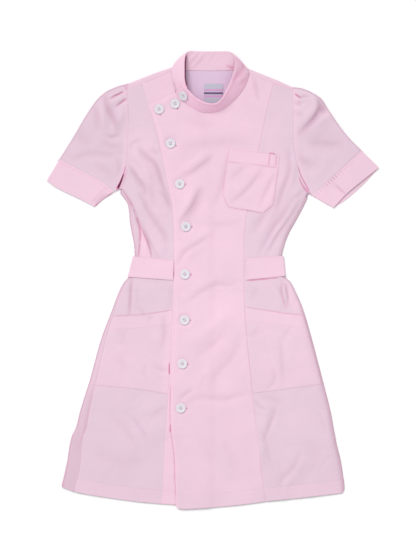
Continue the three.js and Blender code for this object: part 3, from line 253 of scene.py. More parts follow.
# Valleys between the drapes: their route, the width on the left and on the right of it
# as it runs, and their depth
VALLEYS = [
    # Chest and front
    ([(-44, 776), (-17, 767), (17, 766)], 12, 10, 0.7),
    ([(-62, 722), (0, 727), (50, 731), (88, 730)], 12, 12, 1.0),
    ([(11, 708), (1, 696), (-17, 682), (-36, 669), (-56, 659)], 8, 5, 2.0),
    ([(-12, 643), (-21, 626), (-28, 609), (-37, 595), (-48, 582), (-60, 565)], 12, 4.6, 3.1),
    ([(38, 696), (34, 670), (30, 650), (23, 626), (14, 602)], 6, 8, 1.5),
    ([(2, 545), (-13, 533), (-31, 522), (-47, 510), (-58, 492), (-63, 482)], 5, 8, 1.9),
    ([(-18, 564), (12, 566), (42, 567), (72, 574)], 8, 8, 0.8),
    ([(-41, 411), (-13, 432), (14, 445), (46, 446), (61, 453), (72, 455)], 9, 5, 1.2),
    ([(-30, 299), (1, 319), (21, 336), (38, 353)], 10, 7, 0.8),
    ([(7, 249), (27, 276), (47, 299), (61, 329), (68, 350)], 10, 7, 1.0),
    ([(-20, 236), (-9, 256), (-5, 270)], 7, 6, 0.6),
    ([(-60, 212), (-50, 222), (-38, 231), (-28, 241)], 5, 3.5, 1.2),
    ([(-43, 207), (-22, 218), (4, 219), (31, 216), (60, 224), (96, 232)], 10, 6, 1.1),
    ([(-44, 384), (-52, 376), (-66, 366)], 6, 4, 0.5),
    ([(30, 130), (44, 110), (52, 76), (50, 44)], 12, 12, 0.6),
    ([(-20, 150), (-2, 120), (4, 84)], 14, 12, 0.5),
    # Side front on the wearer's right
    ([(-160, 718), (-155, 725), (-148, 731), (-139, 734), (-128, 732)], 3.5, 7, 1.3),
    ([(-141, 724), (-121, 703), (-106, 690), (-98, 674), (-90, 648), (-80, 622), (-72, 600)], 4, 7, 3.0),
    ([(-114, 716), (-104, 710), (-96, 708)], 5, 5, 1.2),
    ([(-160, 688), (-150, 674), (-138, 657), (-127, 641), (-119, 622)], 3.5, 7, 2.8),
    ([(-118, 652), (-110, 622), (-107, 598)], 7, 7, 1.1),
    ([(-142, 632), (-129, 616), (-118, 595), (-101, 568), (-86, 547), (-75, 527)], 6, 7, 1.9),
    ([(-101, 637), (-88, 626), (-77, 606), (-70, 590)], 4, 6, 1.5),
    ([(-142, 580), (-127, 556), (-116, 531), (-106, 513), (-95, 496)], 4, 5, 1.9),
    (
        [(-176, 644), (-156, 615), (-144, 587), (-138, 567), (-135, 546), (-137, 524), (-139, 500)],
        2.2, 3, 2.9,
    ),
    ([(-139, 568), (-127, 548), (-117, 524), (-111, 499)], 2.6, 2.2, 2.8),
    ([(-92, 560), (-84, 530), (-82, 504)], 6, 6, 1.0),
    # Side front on the wearer's left
    ([(87, 864), (94, 852), (98, 832), (103, 810)], 4.5, 4, 1.7),
    ([(160, 722), (164, 692), (161, 664), (153, 642), (145, 620), (137, 594)], 5, 8, 2.2),
    ([(176, 626), (159, 598), (148, 579), (134, 562), (120, 538), (107, 516), (102, 503)], 5, 7, 2.2),
    ([(186, 616), (170, 590), (153, 565), (137, 541), (126, 521), (114, 503)], 5, 4, 1.9),
    ([(188, 602), (174, 572), (160, 546), (150, 520)], 5, 5, 1.5),
    ([(136, 628), (126, 604), (112, 582), (98, 560), (84, 542)], 7, 7, 1.3),
    ([(112, 588), (100, 572), (84, 566)], 7, 6, 0.8),
    ([(196, 640), (182, 626), (170, 616)], 5, 5, 1.1),
    # Breast pocket
    ([(112, 685), (99, 664), (82, 642), (66, 626), (42, 608)], 6, 4, 1.7),
    ([(136, 672), (126, 653), (115, 631), (107, 612), (102, 600)], 5, 4, 1.4),
    ([(116, 672), (111, 664), (104, 656)], 4, 4, 0.6),
    ([(86, 686), (69, 678), (51, 662), (39, 648)], 7, 6, 1.0),
    # Skirt, on the wearer's right
    ([(-152, 462), (-154, 438), (-155, 412), (-157, 380)], 4, 3.4, 2.4),
    ([(-141, 404), (-134, 397), (-129, 390), (-126, 378)], 3, 4, 1.0),
    ([(-77, 448), (-73, 420), (-77, 394)], 5, 4, 0.7),
    ([(-89, 384), (-88, 368), (-87, 346), (-95, 314)], 9, 5, 1.4),
    ([(-121, 371), (-114, 378), (-108, 385)], 4, 4, 0.7),
    ([(-110, 284), (-93, 275), (-78, 274)], 6, 4, 1.0),
    ([(-124, 285), (-128, 269), (-120, 250)], 4, 4, 0.7),
    ([(-173, 360), (-166, 336), (-159, 308)], 8, 8, 0.6),
    ([(-184, 310), (-170, 286), (-172, 262)], 8, 8, 0.5),
    ([(-118, 180), (-99, 193), (-78, 203)], 5, 7, 0.8),
    ([(-150, 186), (-146, 174), (-133, 156), (-119, 132)], 6, 4, 1.2),
    ([(-194, 184), (-168, 160), (-149, 130)], 10, 8, 0.7),
    ([(-163, 152), (-146, 128), (-140, 108)], 6, 5, 0.6),
    ([(-232, 120), (-200, 96), (-150, 90), (-110, 96)], 14, 12, 0.6),
    ([(-257, 180), (-256, 160), (-257, 140), (-260, 126)], 2.5, 3.5, 1.4),
    ([(-270, 141), (-263, 118), (-255, 108)], 3, 3, 1.2),
    ([(-228, 252), (-234, 220), (-240, 186), (-247, 150)], 3, 3, 0.9),
    # Skirt, on the wearer's left
    ([(100, 444), (93, 430), (89, 412)], 8, 7, 0.7),
    ([(151, 461), (147, 446), (150, 420), (156, 403)], 2.2, 3.6, 1.7),
    ([(153, 453), (159, 436), (160, 419), (157, 406)], 3, 2.4, 1.5),
    ([(132, 452), (140, 438), (148, 420)], 5, 4, 0.8),
    ([(144, 342), (147, 310), (149, 283), (151, 246)], 6, 5, 1.2),
    ([(129, 282), (134, 258), (126, 244), (114, 238)], 4, 5, 1.1),
    ([(166, 364), (156, 346), (150, 334)], 6, 5, 0.6),
    ([(84, 339), (94, 350), (106, 358)], 6, 6, 0.6),
    ([(94, 217), (103, 203), (119, 195)], 3.5, 4, 1.1),
    ([(104, 222), (126, 217), (154, 208)], 8, 6, 1.0),
    ([(138, 206), (133, 190), (127, 172), (117, 149), (110, 128)], 4, 6, 1.7),
    ([(100, 164), (111, 146), (117, 126), (121, 106), (131, 78)], 5, 5, 0.9),
    ([(184, 118), (177, 93), (164, 73), (148, 56), (143, 28)], 5, 7, 1.2),
    ([(202, 140), (214, 110), (210, 70)], 12, 12, 0.5),
    ([(222, 192), (230, 172), (236, 154)], 4, 4, 0.6),
    # Sleeve on the wearer's right
    ([(-197, 817), (-186, 824), (-178, 828), (-168, 834)], 1.5, 3.0, 3.0),
    ([(-161, 819), (-168, 815), (-176, 809), (-185, 800)], 3.0, 1.7, 2.4),
    ([(-205, 826), (-204, 812), (-200, 798), (-192, 782), (-185, 767), (-182, 750)], 10, 6, 2.9),
    ([(-223, 806), (-221, 780), (-218, 750)], 6, 7, 1.8),
    ([(-203, 744), (-193, 741), (-183, 745), (-171, 748)], 5, 5, 1.1),
    ([(-286, 708), (-268, 699), (-243, 706), (-220, 708), (-191, 706), (-164, 714)], 9, 8, 1.3),
    ([(-214, 735), (-191, 723), (-166, 721)], 7, 7, 1.2),
    ([(-262, 756), (-250, 738), (-232, 724)], 12, 12, 1.0),
    ([(-230, 690), (-206, 676), (-184, 656)], 9, 9, 1.1),
    ([(-184, 700), (-176, 680), (-180, 660)], 6, 6, 1.3),
    # Sleeve on the wearer's left
    ([(173, 830), (178, 824), (184, 820), (194, 823), (205, 821)], 2.6, 2.0, 2.8),
    ([(172, 812), (178, 807), (184, 806), (188, 812)], 3, 3, 1.9),
    ([(219, 820), (226, 804), (218, 788), (204, 771), (191, 757), (178, 743)], 9, 5, 4.6),
    ([(240, 800), (232, 797), (224, 792)], 9, 9, 2.6),
    ([(170, 790), (180, 786), (192, 786)], 6, 6, 0.9),
    ([(274, 729), (252, 726), (226, 728), (196, 728)], 10, 9, 1.7),
    ([(178, 714), (190, 696), (206, 676)], 7, 7, 1.1),
    ([(178, 700), (200, 690), (230, 680)], 9, 9, 0.9),
    ([(250, 650), (262, 640), (275, 627)], 3, 4.5, 1.6),
    # Under side of the cuff on the wearer's right
    ([(-226, 605), (-213, 616), (-199, 628)], 6, 6, 2.2),
]

# Broad swells of the cloth: centre, reach along x and y, and height
SWELLS = [
    (194, 800, 17, 22, 3.4), (232, 762, 34, 26, 2.4), (-184, 782, 15, 26, 2.2), (-236, 762, 30, 44, 2.0),
    (-146, 700, 16, 20, 1.6), (-128, 660, 12, 26, 1.4), (-30, 650, 26, 26, 1.2), (-100, 590, 16, 34, 1.0),
    (-124, 524, 5, 20, 1.4), (168, 650, 10, 30, 1.2), (130, 600, 20, 30, 1.2), (-120, 430, 22, 16, 1.6),
    (120, 430, 22, 12, 0.8), (170, 430, 9, 22, 1.4), (-24, 740, 60, 24, 0.8), (60, 640, 26, 24, 0.8),
    (0, 480, 40, 60, 0.8), (0, 330, 50, 60, 0.8), (30, 100, 60, 60, 0.6), (-170, 130, 60, 50, 0.8),
    (180, 120, 40, 60, 0.8), (152, 432, 3, 14, 1.6),
]

# Ridges: route, width on the left and on the right of it as it runs, and height
RIDGES = [
    ([(248, 788), (222, 771), (203, 757), (184, 743)], 20, 4.4, 3.0),
    ([(186, 818), (196, 824), (206, 823), (216, 812), (214, 795), (208, 781), (196, 764)], 3.6, 13, 2.8),
    ([(-213, 816), (-212, 790), (-208, 764), (-196, 746), (-178, 747)], 9, 3.6, 2.2),
    ([(-150, 716), (-136, 696), (-122, 672), (-110, 640), (-98, 612)], 5, 8, 1.6),
    ([(-138, 622), (-124, 590), (-104, 556), (-92, 530)], 5, 8, 1.3),
    ([(-60, 672), (-36, 684), (-14, 700), (4, 714)], 6, 12, 1.3),
    ([(-54, 594), (-40, 612), (-32, 632), (-26, 650)], 9, 5, 1.3),
    ([(168, 700), (170, 676), (164, 650), (150, 616)], 6, 5, 1.4),
    ([(160, 590), (146, 568), (130, 544), (114, 518)], 5, 5, 1.2),
    ([(157, 457), (168, 440), (180, 414), (188, 392)], 4, 4, 1.6),
    ([(-146, 452), (-147, 430), (-148, 398)], 5, 7, 1.4),
    ([(100, 70), (104, 120), (96, 170)], 6, 6, 0.7),
    ([(228, 190), (240, 164), (246, 140)], 4, 4, 1.3),
    ([(170, 46), (184, 76), (192, 110)], 7, 9, 1.1),
]

# Strips that are lighter and pinker, some where a second ply shows through and two broad ones over the
# bodice: route, half width at its start and end, and strength
LIGHTER_PINKER_STRIPS = [
    ([(-138, 572), (-133, 550), (-127, 528), (-124, 500)], 4, 9, 1.3),
    ([(-138, 770), (-128, 700), (-108, 620), (-100, 540)], 30, 24, 0.42),
    ([(120, 800), (140, 700), (140, 640), (110, 540)], 24, 24, 0.36),
    ([(165, 448), (172, 426), (180, 398)], 10, 12, 0.8),
    ([(-166, 760), (-166, 740), (-168, 716)], 5, 5, 0.6),
]

# Places in shade, in gaps and under edges: route, half width at its start and end, and strength, where
# up to a half is the red of light through the cloth and more than that is dark
SHADED = [
    ([(-69.6, 494), (-69.0, 480), (-67.8, 463)], 1.9, 1.0, 0.4),
    ([(-77.2, 268), (-77.6, 280), (-77.0, 291)], 1.8, 0.8, 0.42),
    ([(-75.4, 152), (-75.8, 160), (-75.2, 168)], 1.9, 1.0, 0.42),
    (
        [(-64, 8), (-66.2, 60), (-67.4, 100), (-71, 130), (-74.6, 160), (-76, 200), (-74.4, 250)],
        1.2, 1.2, 0.2,
    ),
    ([(-164.6, 684), (-166.6, 676), (-168.8, 668)], 0.8, 1.0, 0.42),
    ([(-168, 670), (-171.4, 660), (-175.4, 650), (-181, 638)], 1.0, 2.9, 0.95),
    ([(178.6, 684), (184, 670), (189, 658), (196, 646), (203, 631)], 0.9, 1.5, 0.34),
    ([(181.6, 663), (186.2, 650), (192.5, 639.5), (200, 631)], 1.0, 2.5, 0.32),
    ([(-162, 680), (-165, 664), (-171, 651), (-177, 640)], 1.4, 3.6, 0.12),
    ([(-132.6, 845), (-133, 848.6)], 1.1, 1.1, 0.16),
    ([(133.6, 845), (134, 848.4)], 1.1, 1.1, 0.14),
    ([(122.4, 709.6), (129, 708.8), (135, 707.4)], 1.2, 0.9, 0.4),
    ([(-190, 384), (-160, 384.8), (-130, 387), (-100, 391.2), (-72, 396.6)], 1.1, 1.1, 0.2),
    ([(74, 402.4), (100, 397.8), (130, 393.4), (160, 388.8), (190, 386.4)], 1.1, 1.1, 0.18),
    ([(-169, 832.4), (-181, 826.4), (-194, 820)], 1.2, 0.8, 0.5),
    ([(-163.4, 818), (-171, 812.6), (-181, 805)], 1.2, 0.8, 0.4),
    ([(-163, 836), (-166, 845)], 1.2, 1.2, 0.3),
    ([(174.6, 828), (179, 824.4), (185, 820.6)], 1.5, 1.2, 0.4),
    ([(181, 815), (182.6, 809)], 2.6, 2.6, 0.08),
    ([(-206, 826), (-201, 806), (-192, 784), (-185, 766)], 5.5, 3.5, 0.04),
    ([(-226, 603.6), (-214, 613), (-204, 621), (-192, 630)], 1.4, 1.2, 0.64),
    ([(-200, 642), (-212, 634), (-222, 624), (-232, 612)], 1.0, 1.2, 0.1),
    ([(257, 643), (266, 636), (275, 627)], 1.2, 1.8, 0.1),
    ([(-139, 500), (-137, 524), (-135, 546), (-138, 567), (-147, 590)], 1.8, 1.4, 0.26),
    ([(-111, 498), (-118, 524), (-128, 548), (-136, 566)], 1.4, 1.0, 0.2),
    ([(-228, 252), (-234, 220), (-240, 188), (-249, 150), (-262, 118)], 1.3, 1.6, 0.1),
    ([(-286, 80), (-291, 40)], 3.0, 3.0, 0.1),
    ([(-293, 70), (-293, 40)], 2.6, 2.6, 0.1),
    ([(150.6, 452), (147.4, 440), (149, 422), (155.4, 399)], 1.2, 1.3, 0.15),
    ([(151.4, 452), (157, 434), (160.4, 416), (157.4, 399)], 1.0, 1.3, 0.13),
    ([(-153, 460), (-155, 430), (-157, 384)], 2.2, 1.8, 0.06),
    ([(77, 455.2), (100, 456.8), (142, 461)], 1.7, 1.2, 0.34),
    ([(76, 494.4), (88, 495.8), (101, 497.6)], 1.3, 1.8, 0.26),
    ([(132, 498.6), (148, 500.6)], 1.3, 1.3, 0.26),
    ([(36, 886), (44, 882), (53, 880)], 1.5, 4.0, 0.2),
    ([(-173, 640), (-162.7, 622.7), (-150, 600), (-146, 590)], 1.2, 1.0, 0.25),
    ([(38, 693), (88, 687), (140, 680.6)], 0.9, 0.9, 0.13),
    ([(42.4, 717), (36.4, 690), (33, 660), (29.6, 627)], 1.0, 1.0, 0.12),
    ([(29.6, 627), (41.4, 602.6), (75, 596), (108.6, 589.2)], 1.0, 1.0, 0.18),
    ([(109, 589.4), (129.8, 605.4), (135.2, 642), (140.6, 678)], 1.0, 1.0, 0.14),
    ([(124, 708), (121.6, 685)], 1.1, 0.9, 0.22),
    ([(137.4, 706), (135.4, 684)], 1.0, 0.8, 0.16),
]

MM = 1000
FAR = 1e3
TINY = 1e-12
SIGN = {"right": -1, "left": 1}

# The garment's frame in the model's: the label lies at a known place in both
label_low, label_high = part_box("label")
ORIGIN = np.array([
    MM * (label_low.x + label_high.x) / 2 - LABEL["x"],
    MM * (label_low.y + label_high.y) / 2 - LABEL["y"],
    0.0,
])


# Small helpers
def metres(points):
    return (np.asarray(points, float) + ORIGIN) / MM


def smoothstep(x, low, high):
    t = np.clip((x - low) / (high - low), 0, 1)
    return t * t * (3 - 2 * t)


def fading(x, low, high):
    return 1 - smoothstep(x, low, high)


def bell(x, width=1.0):
    return np.exp(-((x / width) ** 2))


def unit(vectors):
    return vectors / np.maximum(np.linalg.norm(vectors, axis=-1, keepdims=True), TINY)


def xy(places):
    return places[..., 0], places[..., 1]


def between(first, last, shares):
    """Columns of places from one line of places to another"""
    return first[:, None] * (1 - shares)[None, :, None] + last[:, None] * shares[None, :, None]


def sample(at, shares, line):
    """Places of a line at given shares of it"""
    return np.stack([np.interp(at, shares, column) for column in line.T], axis=-1)


def nearest(values, value):
    return int(np.abs(values - value).argmin())


def along(table, column=1):
    """A smooth function of y through a column of a table, which never overshoots it"""
    ys, values = table[:, 0], table[:, column]
    slopes = np.diff(values) / np.diff(ys)
    before, after = np.append(slopes[:1], slopes), np.append(slopes, slopes[-1:])
    same_way = before * after > 0
    tangents = np.where(same_way, 2 * before * after / np.where(same_way, before + after, 1), 0)

    def value(y):
        k = np.clip(np.searchsorted(ys, y, side="right") - 1, 0, len(ys) - 2)
        span = ys[k + 1] - ys[k]
        t = np.clip((y - ys[k]) / span, 0, 1)
        bend = span * (t * (1 - t) ** 2 * tangents[k] - t * t * (1 - t) * tangents[k + 1])
        return values[k] + (values[k + 1] - values[k]) * t * t * (3 - 2 * t) + bend

    return value


outline = {"right": along(OUTLINE, 1), "left": along(OUTLINE, 3)}
wrap = {"right": along(OUTLINE, 2), "left": along(OUTLINE, 4)}
armhole = {"right": along(ARMHOLE_RIGHT), "left": along(ARMHOLE_LEFT)}
princess = {"right": along(CENTRE_EDGES, 1), "left": along(CENTRE_EDGES, 3)}
overlap_edge = along(CENTRE_EDGES, 2)
underlap_edge = along(UNDERLAP_EDGE)
ARMPIT_Y = {side: ROW_VALUES[ROW_NAMES.index("armpit"), ROW_COLUMNS[f"side_{side}"]] for side in SIGN}


def side_edge(side, y):
    wrapped = outline[side](y) - SIGN[side] * wrap[side](y)
    return np.where(y < ARMPIT_Y[side], wrapped, armhole[side](y))


CURVE_STEPS = 24
JOINED_STEPS = 80


def curve(points):
    """Points close together on a centripetal Catmull-Rom curve"""
    p = np.asarray(points, float)
    p = np.vstack([2 * p[0] - p[1], p, 2 * p[-1] - p[-2]])
    gaps = np.maximum(np.sqrt(np.linalg.norm(np.diff(p, axis=0), axis=1)), 1e-4)
    t = np.linspace(0, 1, CURVE_STEPS, endpoint=False)[:, None]
    pieces = []
    for k in range(1, len(p) - 2):
        a, b, c = gaps[k - 1:k + 2]
        start, end = p[k], p[k + 1]
        leave = ((start - p[k - 1]) / a - (end - p[k - 1]) / (a + b) + (end - start) / b) * b
        arrive = ((end - start) / b - (p[k + 2] - start) / (b + c) + (p[k + 2] - end) / c) * b
        pieces.append(
            (2 * t**3 - 3 * t**2 + 1) * start + (t**3 - 2 * t**2 + t) * leave
            + (3 * t**2 - 2 * t**3) * end + (t**3 - t**2) * arrive
        )
    return np.vstack(pieces + [p[-2][None]])


def lengths_along(line):
    return np.append(0, np.cumsum(np.linalg.norm(np.diff(line, axis=0), axis=1)))


def by_length(line):
    """A function from a share of a line's length to the place there"""
    shares = lengths_along(line)
    shares /= shares[-1]
    return lambda share: sample(share, shares, line)


def path(points):
    return by_length(curve(points))


def joined(stretches):
    """A function over several paths, each of which takes a given number of equal shares"""
    total = sum(cells for _, cells in stretches)
    t = np.linspace(0, 1, JOINED_STEPS)
    shares, places, done = [], [], 0
    for points, cells in stretches:
        shares.append((done + cells * t) / total)
        places.append(path(points)(t))
        done += cells
    shares, places = np.concatenate(shares), np.vstack(places)
    return lambda share: sample(share, shares, places)


# Rumples and folds
LATTICE = 96
ROUTE_STRIDE = 6
FOLD_FULLNESS = 0.7
VALLEY_REACH = 5
RIDGE_REACH = 3
LIP = {"share": 0.28, "place": 2.3, "width": 1.7}
SHARPNESS = 1.5

# Rumples and creases all over: height, size, skew of x by y, skew of y by x, and seed
RUMPLES = [(0.8, 74, 0, 0, 3), (0.42, 31, 0.5, -0.4, 5), (0.1, 11, -0.3, 0.6, 7)]
CREASES = [(1.1, 44, 0.3, -0.2, 13), (0.5, 19, -0.6, 0.5, 17)]
CREASED_PATCHES = {"size": 90, "seed": 11}

# The front stands up by its loft, except where the belt holds it down, and never falls below the deepest
LOFT = 1.1
HELD_BELOW = (436, 452)
HELD_ABOVE = (510, 530)
DEEPEST = -1.45
DEEPEST_BLEND = 0.3
EDGE_FALL = 2.4
EDGE_REACH = 3.4
BUTTON_CALM = (7, 18)

# Painted shade: how far a valley must sink to be fully darkened, and how far painted shade reaches in from
# the body's outline
CAVITY_DEPTH = 6.2
CAVITY_WIDTH = 0.9
RIM_SHADE = {"reach": 2.2, "more": 2.4, "more_over": (175, 200)}
# Painted shade as a redder line along the body's outline: its strength and reach
RIM_PAINTED_SHADE = {"strength": 0.14, "reach": 1.1}

# How a tinted route fades over its ends, and the share of its strength that it keeps there
ROUTE_START = 0.12
ROUTE_END = 0.9
ROUTE_END_SHARE = 0.35
ROUTE_REACH = 2.5


def lift(y):
    rising = smoothstep(y, LIFT["start"], LIFT["full"])
    falling = smoothstep(y, LIFT["full_end"], LIFT["end"])
    return BELT_LIFT * (rising - falling)


def rumple(x, y, size, seed):
    """Smooth random undulation from -1 to 1, with bumps of about a given size"""
    lattice = np.random.default_rng(seed).uniform(-1, 1, (LATTICE, LATTICE))
    gx, gy = x / size + LATTICE / 2, y / size + LATTICE / 4
    i, j = np.floor(gx).astype(int), np.floor(gy).astype(int)
    u, v = smoothstep(gx - i, 0, 1), smoothstep(gy - j, 0, 1)
    i, j = np.mod(i, LATTICE - 1), np.mod(j, LATTICE - 1)
    low = lattice[i, j] * (1 - u) + lattice[i + 1, j] * u
    high = lattice[i, j + 1] * (1 - u) + lattice[i + 1, j + 1] * u
    return low * (1 - v) + high * v


def near_route(route, reach, x, y):
    """For places near a route: which they are, how far off, how far along it as a share, and on which side"""
    line = curve(route)[::ROUTE_STRIDE]
    low, high = line.min(0) - reach, line.max(0) + reach
    near = np.nonzero((x > low[0]) & (x < high[0]) & (y > low[1]) & (y < high[1]))
    px, py = x[near][:, None], y[near][:, None]
    start, run = line[:-1], np.diff(line, axis=0)
    passed = lengths_along(line)
    long = np.diff(passed)
    t = np.clip(((px - start[:, 0]) * run[:, 0] + (py - start[:, 1]) * run[:, 1]) / long**2, 0, 1)
    dx, dy = px - start[:, 0] - t * run[:, 0], py - start[:, 1] - t * run[:, 1]
    distance = np.hypot(dx, dy)
    best = distance.argmin(1)
    rows = np.arange(len(best))
    share = (passed[best] + t[rows, best] * long[best]) / passed[-1]
    on_left = run[best, 0] * dy[rows, best] - run[best, 1] * dx[rows, best] > 0
    return near, distance[rows, best], share, on_left


def add_folds(total, table, reach, profile, x, y):
    """Adds folds along routes, fullest half way and gone at their ends, with a profile across their widths"""
    for route, width_left, width_right, height in table:
        near, distance, share, on_left = near_route(route, reach * max(width_left, width_right), x, y)
        away = distance / np.where(on_left, width_left, width_right)
        total[near] += height * np.sin(np.pi * np.clip(share, 0, 1)) ** FOLD_FULLNESS * profile(away)


def valley_profile(away):
    """A valley with a raised lip on each side"""
    return LIP["share"] * bell(away - LIP["place"], LIP["width"]) - np.exp(-(away**SHARPNESS))


def from_buttons(x, y):
    """Distance from the nearest button"""
    return np.min([np.hypot(x - bx, y - by) for bx, by in SKETCHED_BUTTONS], axis=0)


def from_outline(x, y):
    """Distance from the side edge of the body, for places on it"""
    low, high = OUTLINE[0, 0], OUTLINE[-1, 0]
    held = np.clip(y, low, high)
    inside = np.minimum(outline["left"](held) - x, x - outline["right"](held))
    return np.where((y < high) & (inside > -6), np.abs(inside), FAR)


def cavity(x, y):
    """How strongly a place is darkened as painted shade inside a valley or by the body's outline, from 0 to 1
    """
    reach = RIM_SHADE["reach"] + RIM_SHADE["more"] * smoothstep(x, *RIM_SHADE["more_over"])
    total = np.exp(-from_outline(x, y) / reach)
    add_folds(total, VALLEYS, RIDGE_REACH, lambda away: bell(away, CAVITY_WIDTH) / CAVITY_DEPTH, x, y)
    return np.clip(total * smoothstep(from_buttons(x, y), *BUTTON_CALM), 0, 1)


def along_routes(table, x, y):
    """How strongly a place is covered by the routes of a table, from 0 to 1"""
    total = np.zeros(x.shape)
    for route, first_width, last_width, strength in table:
        near, distance, share, _ = near_route(route, ROUTE_REACH * max(first_width, last_width), x, y)
        width = first_width + (last_width - first_width) * share
        middle = smoothstep(share, 0, ROUTE_START) * fading(share, ROUTE_END, 1)
        fullness = ROUTE_END_SHARE + (1 - ROUTE_END_SHARE) * middle
        total[near] = np.maximum(total[near], strength * fullness * np.exp(-((distance / width) ** 4)))
    return total


def fold_height(fold, x, y):
    from_x, from_y, to_x, to_y, width, height = fold
    run_x, run_y = to_x - from_x, to_y - from_y
    length = math.hypot(run_x, run_y)
    t = np.clip(((x - from_x) * run_x + (y - from_y) * run_y) / length**2, 0, 1)
    across = ((x - from_x) * run_y - (y - from_y) * run_x) / length
    return height * 4 * t * (1 - t) * bell(across, width)


def relief(x, y):
    """The folds, valleys, swells and rumples of the front layers"""
    extra = LOFT * (fading(y, *HELD_BELOW) + smoothstep(y, *HELD_ABOVE))
    for height, size, skew_x, skew_y, seed in RUMPLES:
        extra += height * rumple(x + skew_x * y, y + skew_y * x, size, seed)
    creased = 0.5 + 0.5 * rumple(x, y, **CREASED_PATCHES)
    for height, size, skew_x, skew_y, seed in CREASES:
        extra += creased * height * np.abs(rumple(x + skew_x * y, y + skew_y * x, size, seed))
    add_folds(extra, VALLEYS, VALLEY_REACH, valley_profile, x, y)
    add_folds(extra, RIDGES, RIDGE_REACH, bell, x, y)
    for at_x, at_y, reach_x, reach_y, height in SWELLS:
        extra += height * bell(x - at_x, reach_x) * bell(y - at_y, reach_y)
    extra *= smoothstep(from_buttons(x, y), *BUTTON_CALM)
    extra -= EDGE_FALL * np.exp(-from_outline(x, y) / EDGE_REACH)
    total = extra + sum(fold_height(fold, x, y) for fold in FOLDS)
    return DEEPEST + DEEPEST_BLEND * np.logaddexp(0, (total - DEEPEST) / DEEPEST_BLEND)


def calm_front(y):
    return FRONT_LOW + lift(y)


def front(x, y):
    return calm_front(y) + relief(x, y)


def over_lap(x, y):
    """How far the overlap is raised by the underlap below it"""
    return fading(x - underlap_edge(y) - LAP_FLAT, 0, LAP_FADE) * (CLOTH + LAYER_GAP)


# Grids of panels
FINE_BY_STITCHES = (-2, -1, 1, 2)
FINE_BY_HEM = (0.4, 1, 1.8)


def row_numbers():
    """Places along the body rows, a few millimetres apart, as fractional row numbers"""
    heights = ROW_VALUES[:, [0, 1, 3, 4]]
    numbers = [0.0]
    for k, gap in enumerate(np.abs(np.diff(heights, axis=0)).max(1)):
        cells = max(1, math.ceil(gap / ROW_STEP))
        numbers.extend(k + np.arange(1, cells + 1) / cells)
    hem_gap = ROW_VALUES[1, 1] - ROW_VALUES[0, 1]
    numbers.extend(1 + offset / hem_gap for offset in FINE_BY_STITCHES)
    numbers.extend(offset / hem_gap for offset in FINE_BY_HEM)
    return np.unique(np.round(numbers, 5))


ROWS = row_numbers()
STITCH_ROW = nearest(ROWS, ROW_NAMES.index("hem_stitch"))


def level(name):
    return np.interp(ROWS, np.arange(len(BODY_ROWS)), ROW_VALUES[:, ROW_COLUMNS[name]])


def share_out(outer, inner, stretches):
    """Shares across rows from outer to inner places, close together near both edges and even in each stretch
    between, with the distances from the two edges"""
    width = np.linalg.norm(inner - outer, axis=1)[:, None]
    near = np.array(NEAR_EDGE)[None] * np.minimum(1, width / (3 * NEAR_EDGE[-1])) / width
    parts, low = [near], near[:, -1:]
    for k, (limit, cells) in enumerate(stretches):
        last = k == len(stretches) - 1
        high = 1 - near[:, -1:] if last else np.full_like(low, limit)
        steps = np.arange(1, cells + (0 if last else 1)) / cells
        parts.append(low + (high - low) * steps[None])
        low = high
    parts.append(1 - near[:, ::-1])
    u = np.hstack(parts)
    return u, u * width, (1 - u) * width


def panel(starts, ends, u, sags=None, bottom=None, top=None, top_from=TOP_BLEND_FROM):
    """Places of a panel between two side edges whose first and last rows follow paths of their own"""
    plan = starts[:, None] * (1 - u)[..., None] + ends[:, None] * u[..., None]
    if sags is not None:
        plan[..., 1] -= 4 * sags[:, None] * u * (1 - u)
    middle = (starts[:, 1] + ends[:, 1]) / 2
    for edge, share in (
        (top, lambda mean: smoothstep(middle, top_from, mean)),
        (bottom, lambda mean: fading(middle, mean, HEM_BLEND_TO)),
    ):
        if edge is None:
            continue
        first, last = edge(0.0), edge(1.0)
        offset = edge(u) - (first * (1 - u)[..., None] + last * u[..., None])
        plan += share((first[1] + last[1]) / 2)[:, None, None] * offset
    return plan


def with_height(plan, z):
    return np.concatenate([plan, np.broadcast_to(z, plan.shape[:-1])[..., None]], axis=-1)


PUCKER = {"height": 0.11, "spacing": 9, "reach": 5.5, "drift": 2.6}
STITCH_GROOVE = {"depth": 0.16, "width": 0.7}


def pucker(along_seam, distance, seed):
    """Small ripples that a seam's stitches pull into the cloth beside it"""
    flat = distance * 0
    phase = 2 * np.pi * along_seam / PUCKER["spacing"] + PUCKER["drift"] * rumple(along_seam, flat, 23, seed)
    strength = 0.6 + 0.4 * rumple(along_seam, flat + 500, 60, seed)
    return PUCKER["height"] * strength * np.sin(phase) * np.exp(-distance / PUCKER["reach"])


def valley(distance, depth=SEAM_VALLEY):
    return -depth * bell(distance, SEAM_VALLEY_WIDTH)


def stitch_groove(distance, at):
    return -STITCH_GROOVE["depth"] * bell(distance - at, STITCH_GROOVE["width"])


def fold_columns(low, high, way, reach, cells):
    """Columns round the fold that joins a lower line of places to an upper one, without those two"""
    share = np.linspace(0, 1, cells + 1)[1:-1]
    places = between(low, high, share)
    places[..., :2] += reach * np.sin(np.pi * share)[None, :, None] * way[:, None]
    middle, half = (low[:, 2] + high[:, 2]) / 2, (high[:, 2] - low[:, 2]) / 2
    places[..., 2] = middle[:, None] - half[:, None] * np.cos(np.pi * share)
    return places


# Meshes
RIM_ANGLES = np.pi * np.array([0.22, 0.5, 0.78])


def put(name, mesh):
    """Puts a mesh, light or camera into the scene as an object"""
    placed = bpy.data.objects.new(name, mesh)
    bpy.context.scene.collection.objects.link(placed)
    return placed


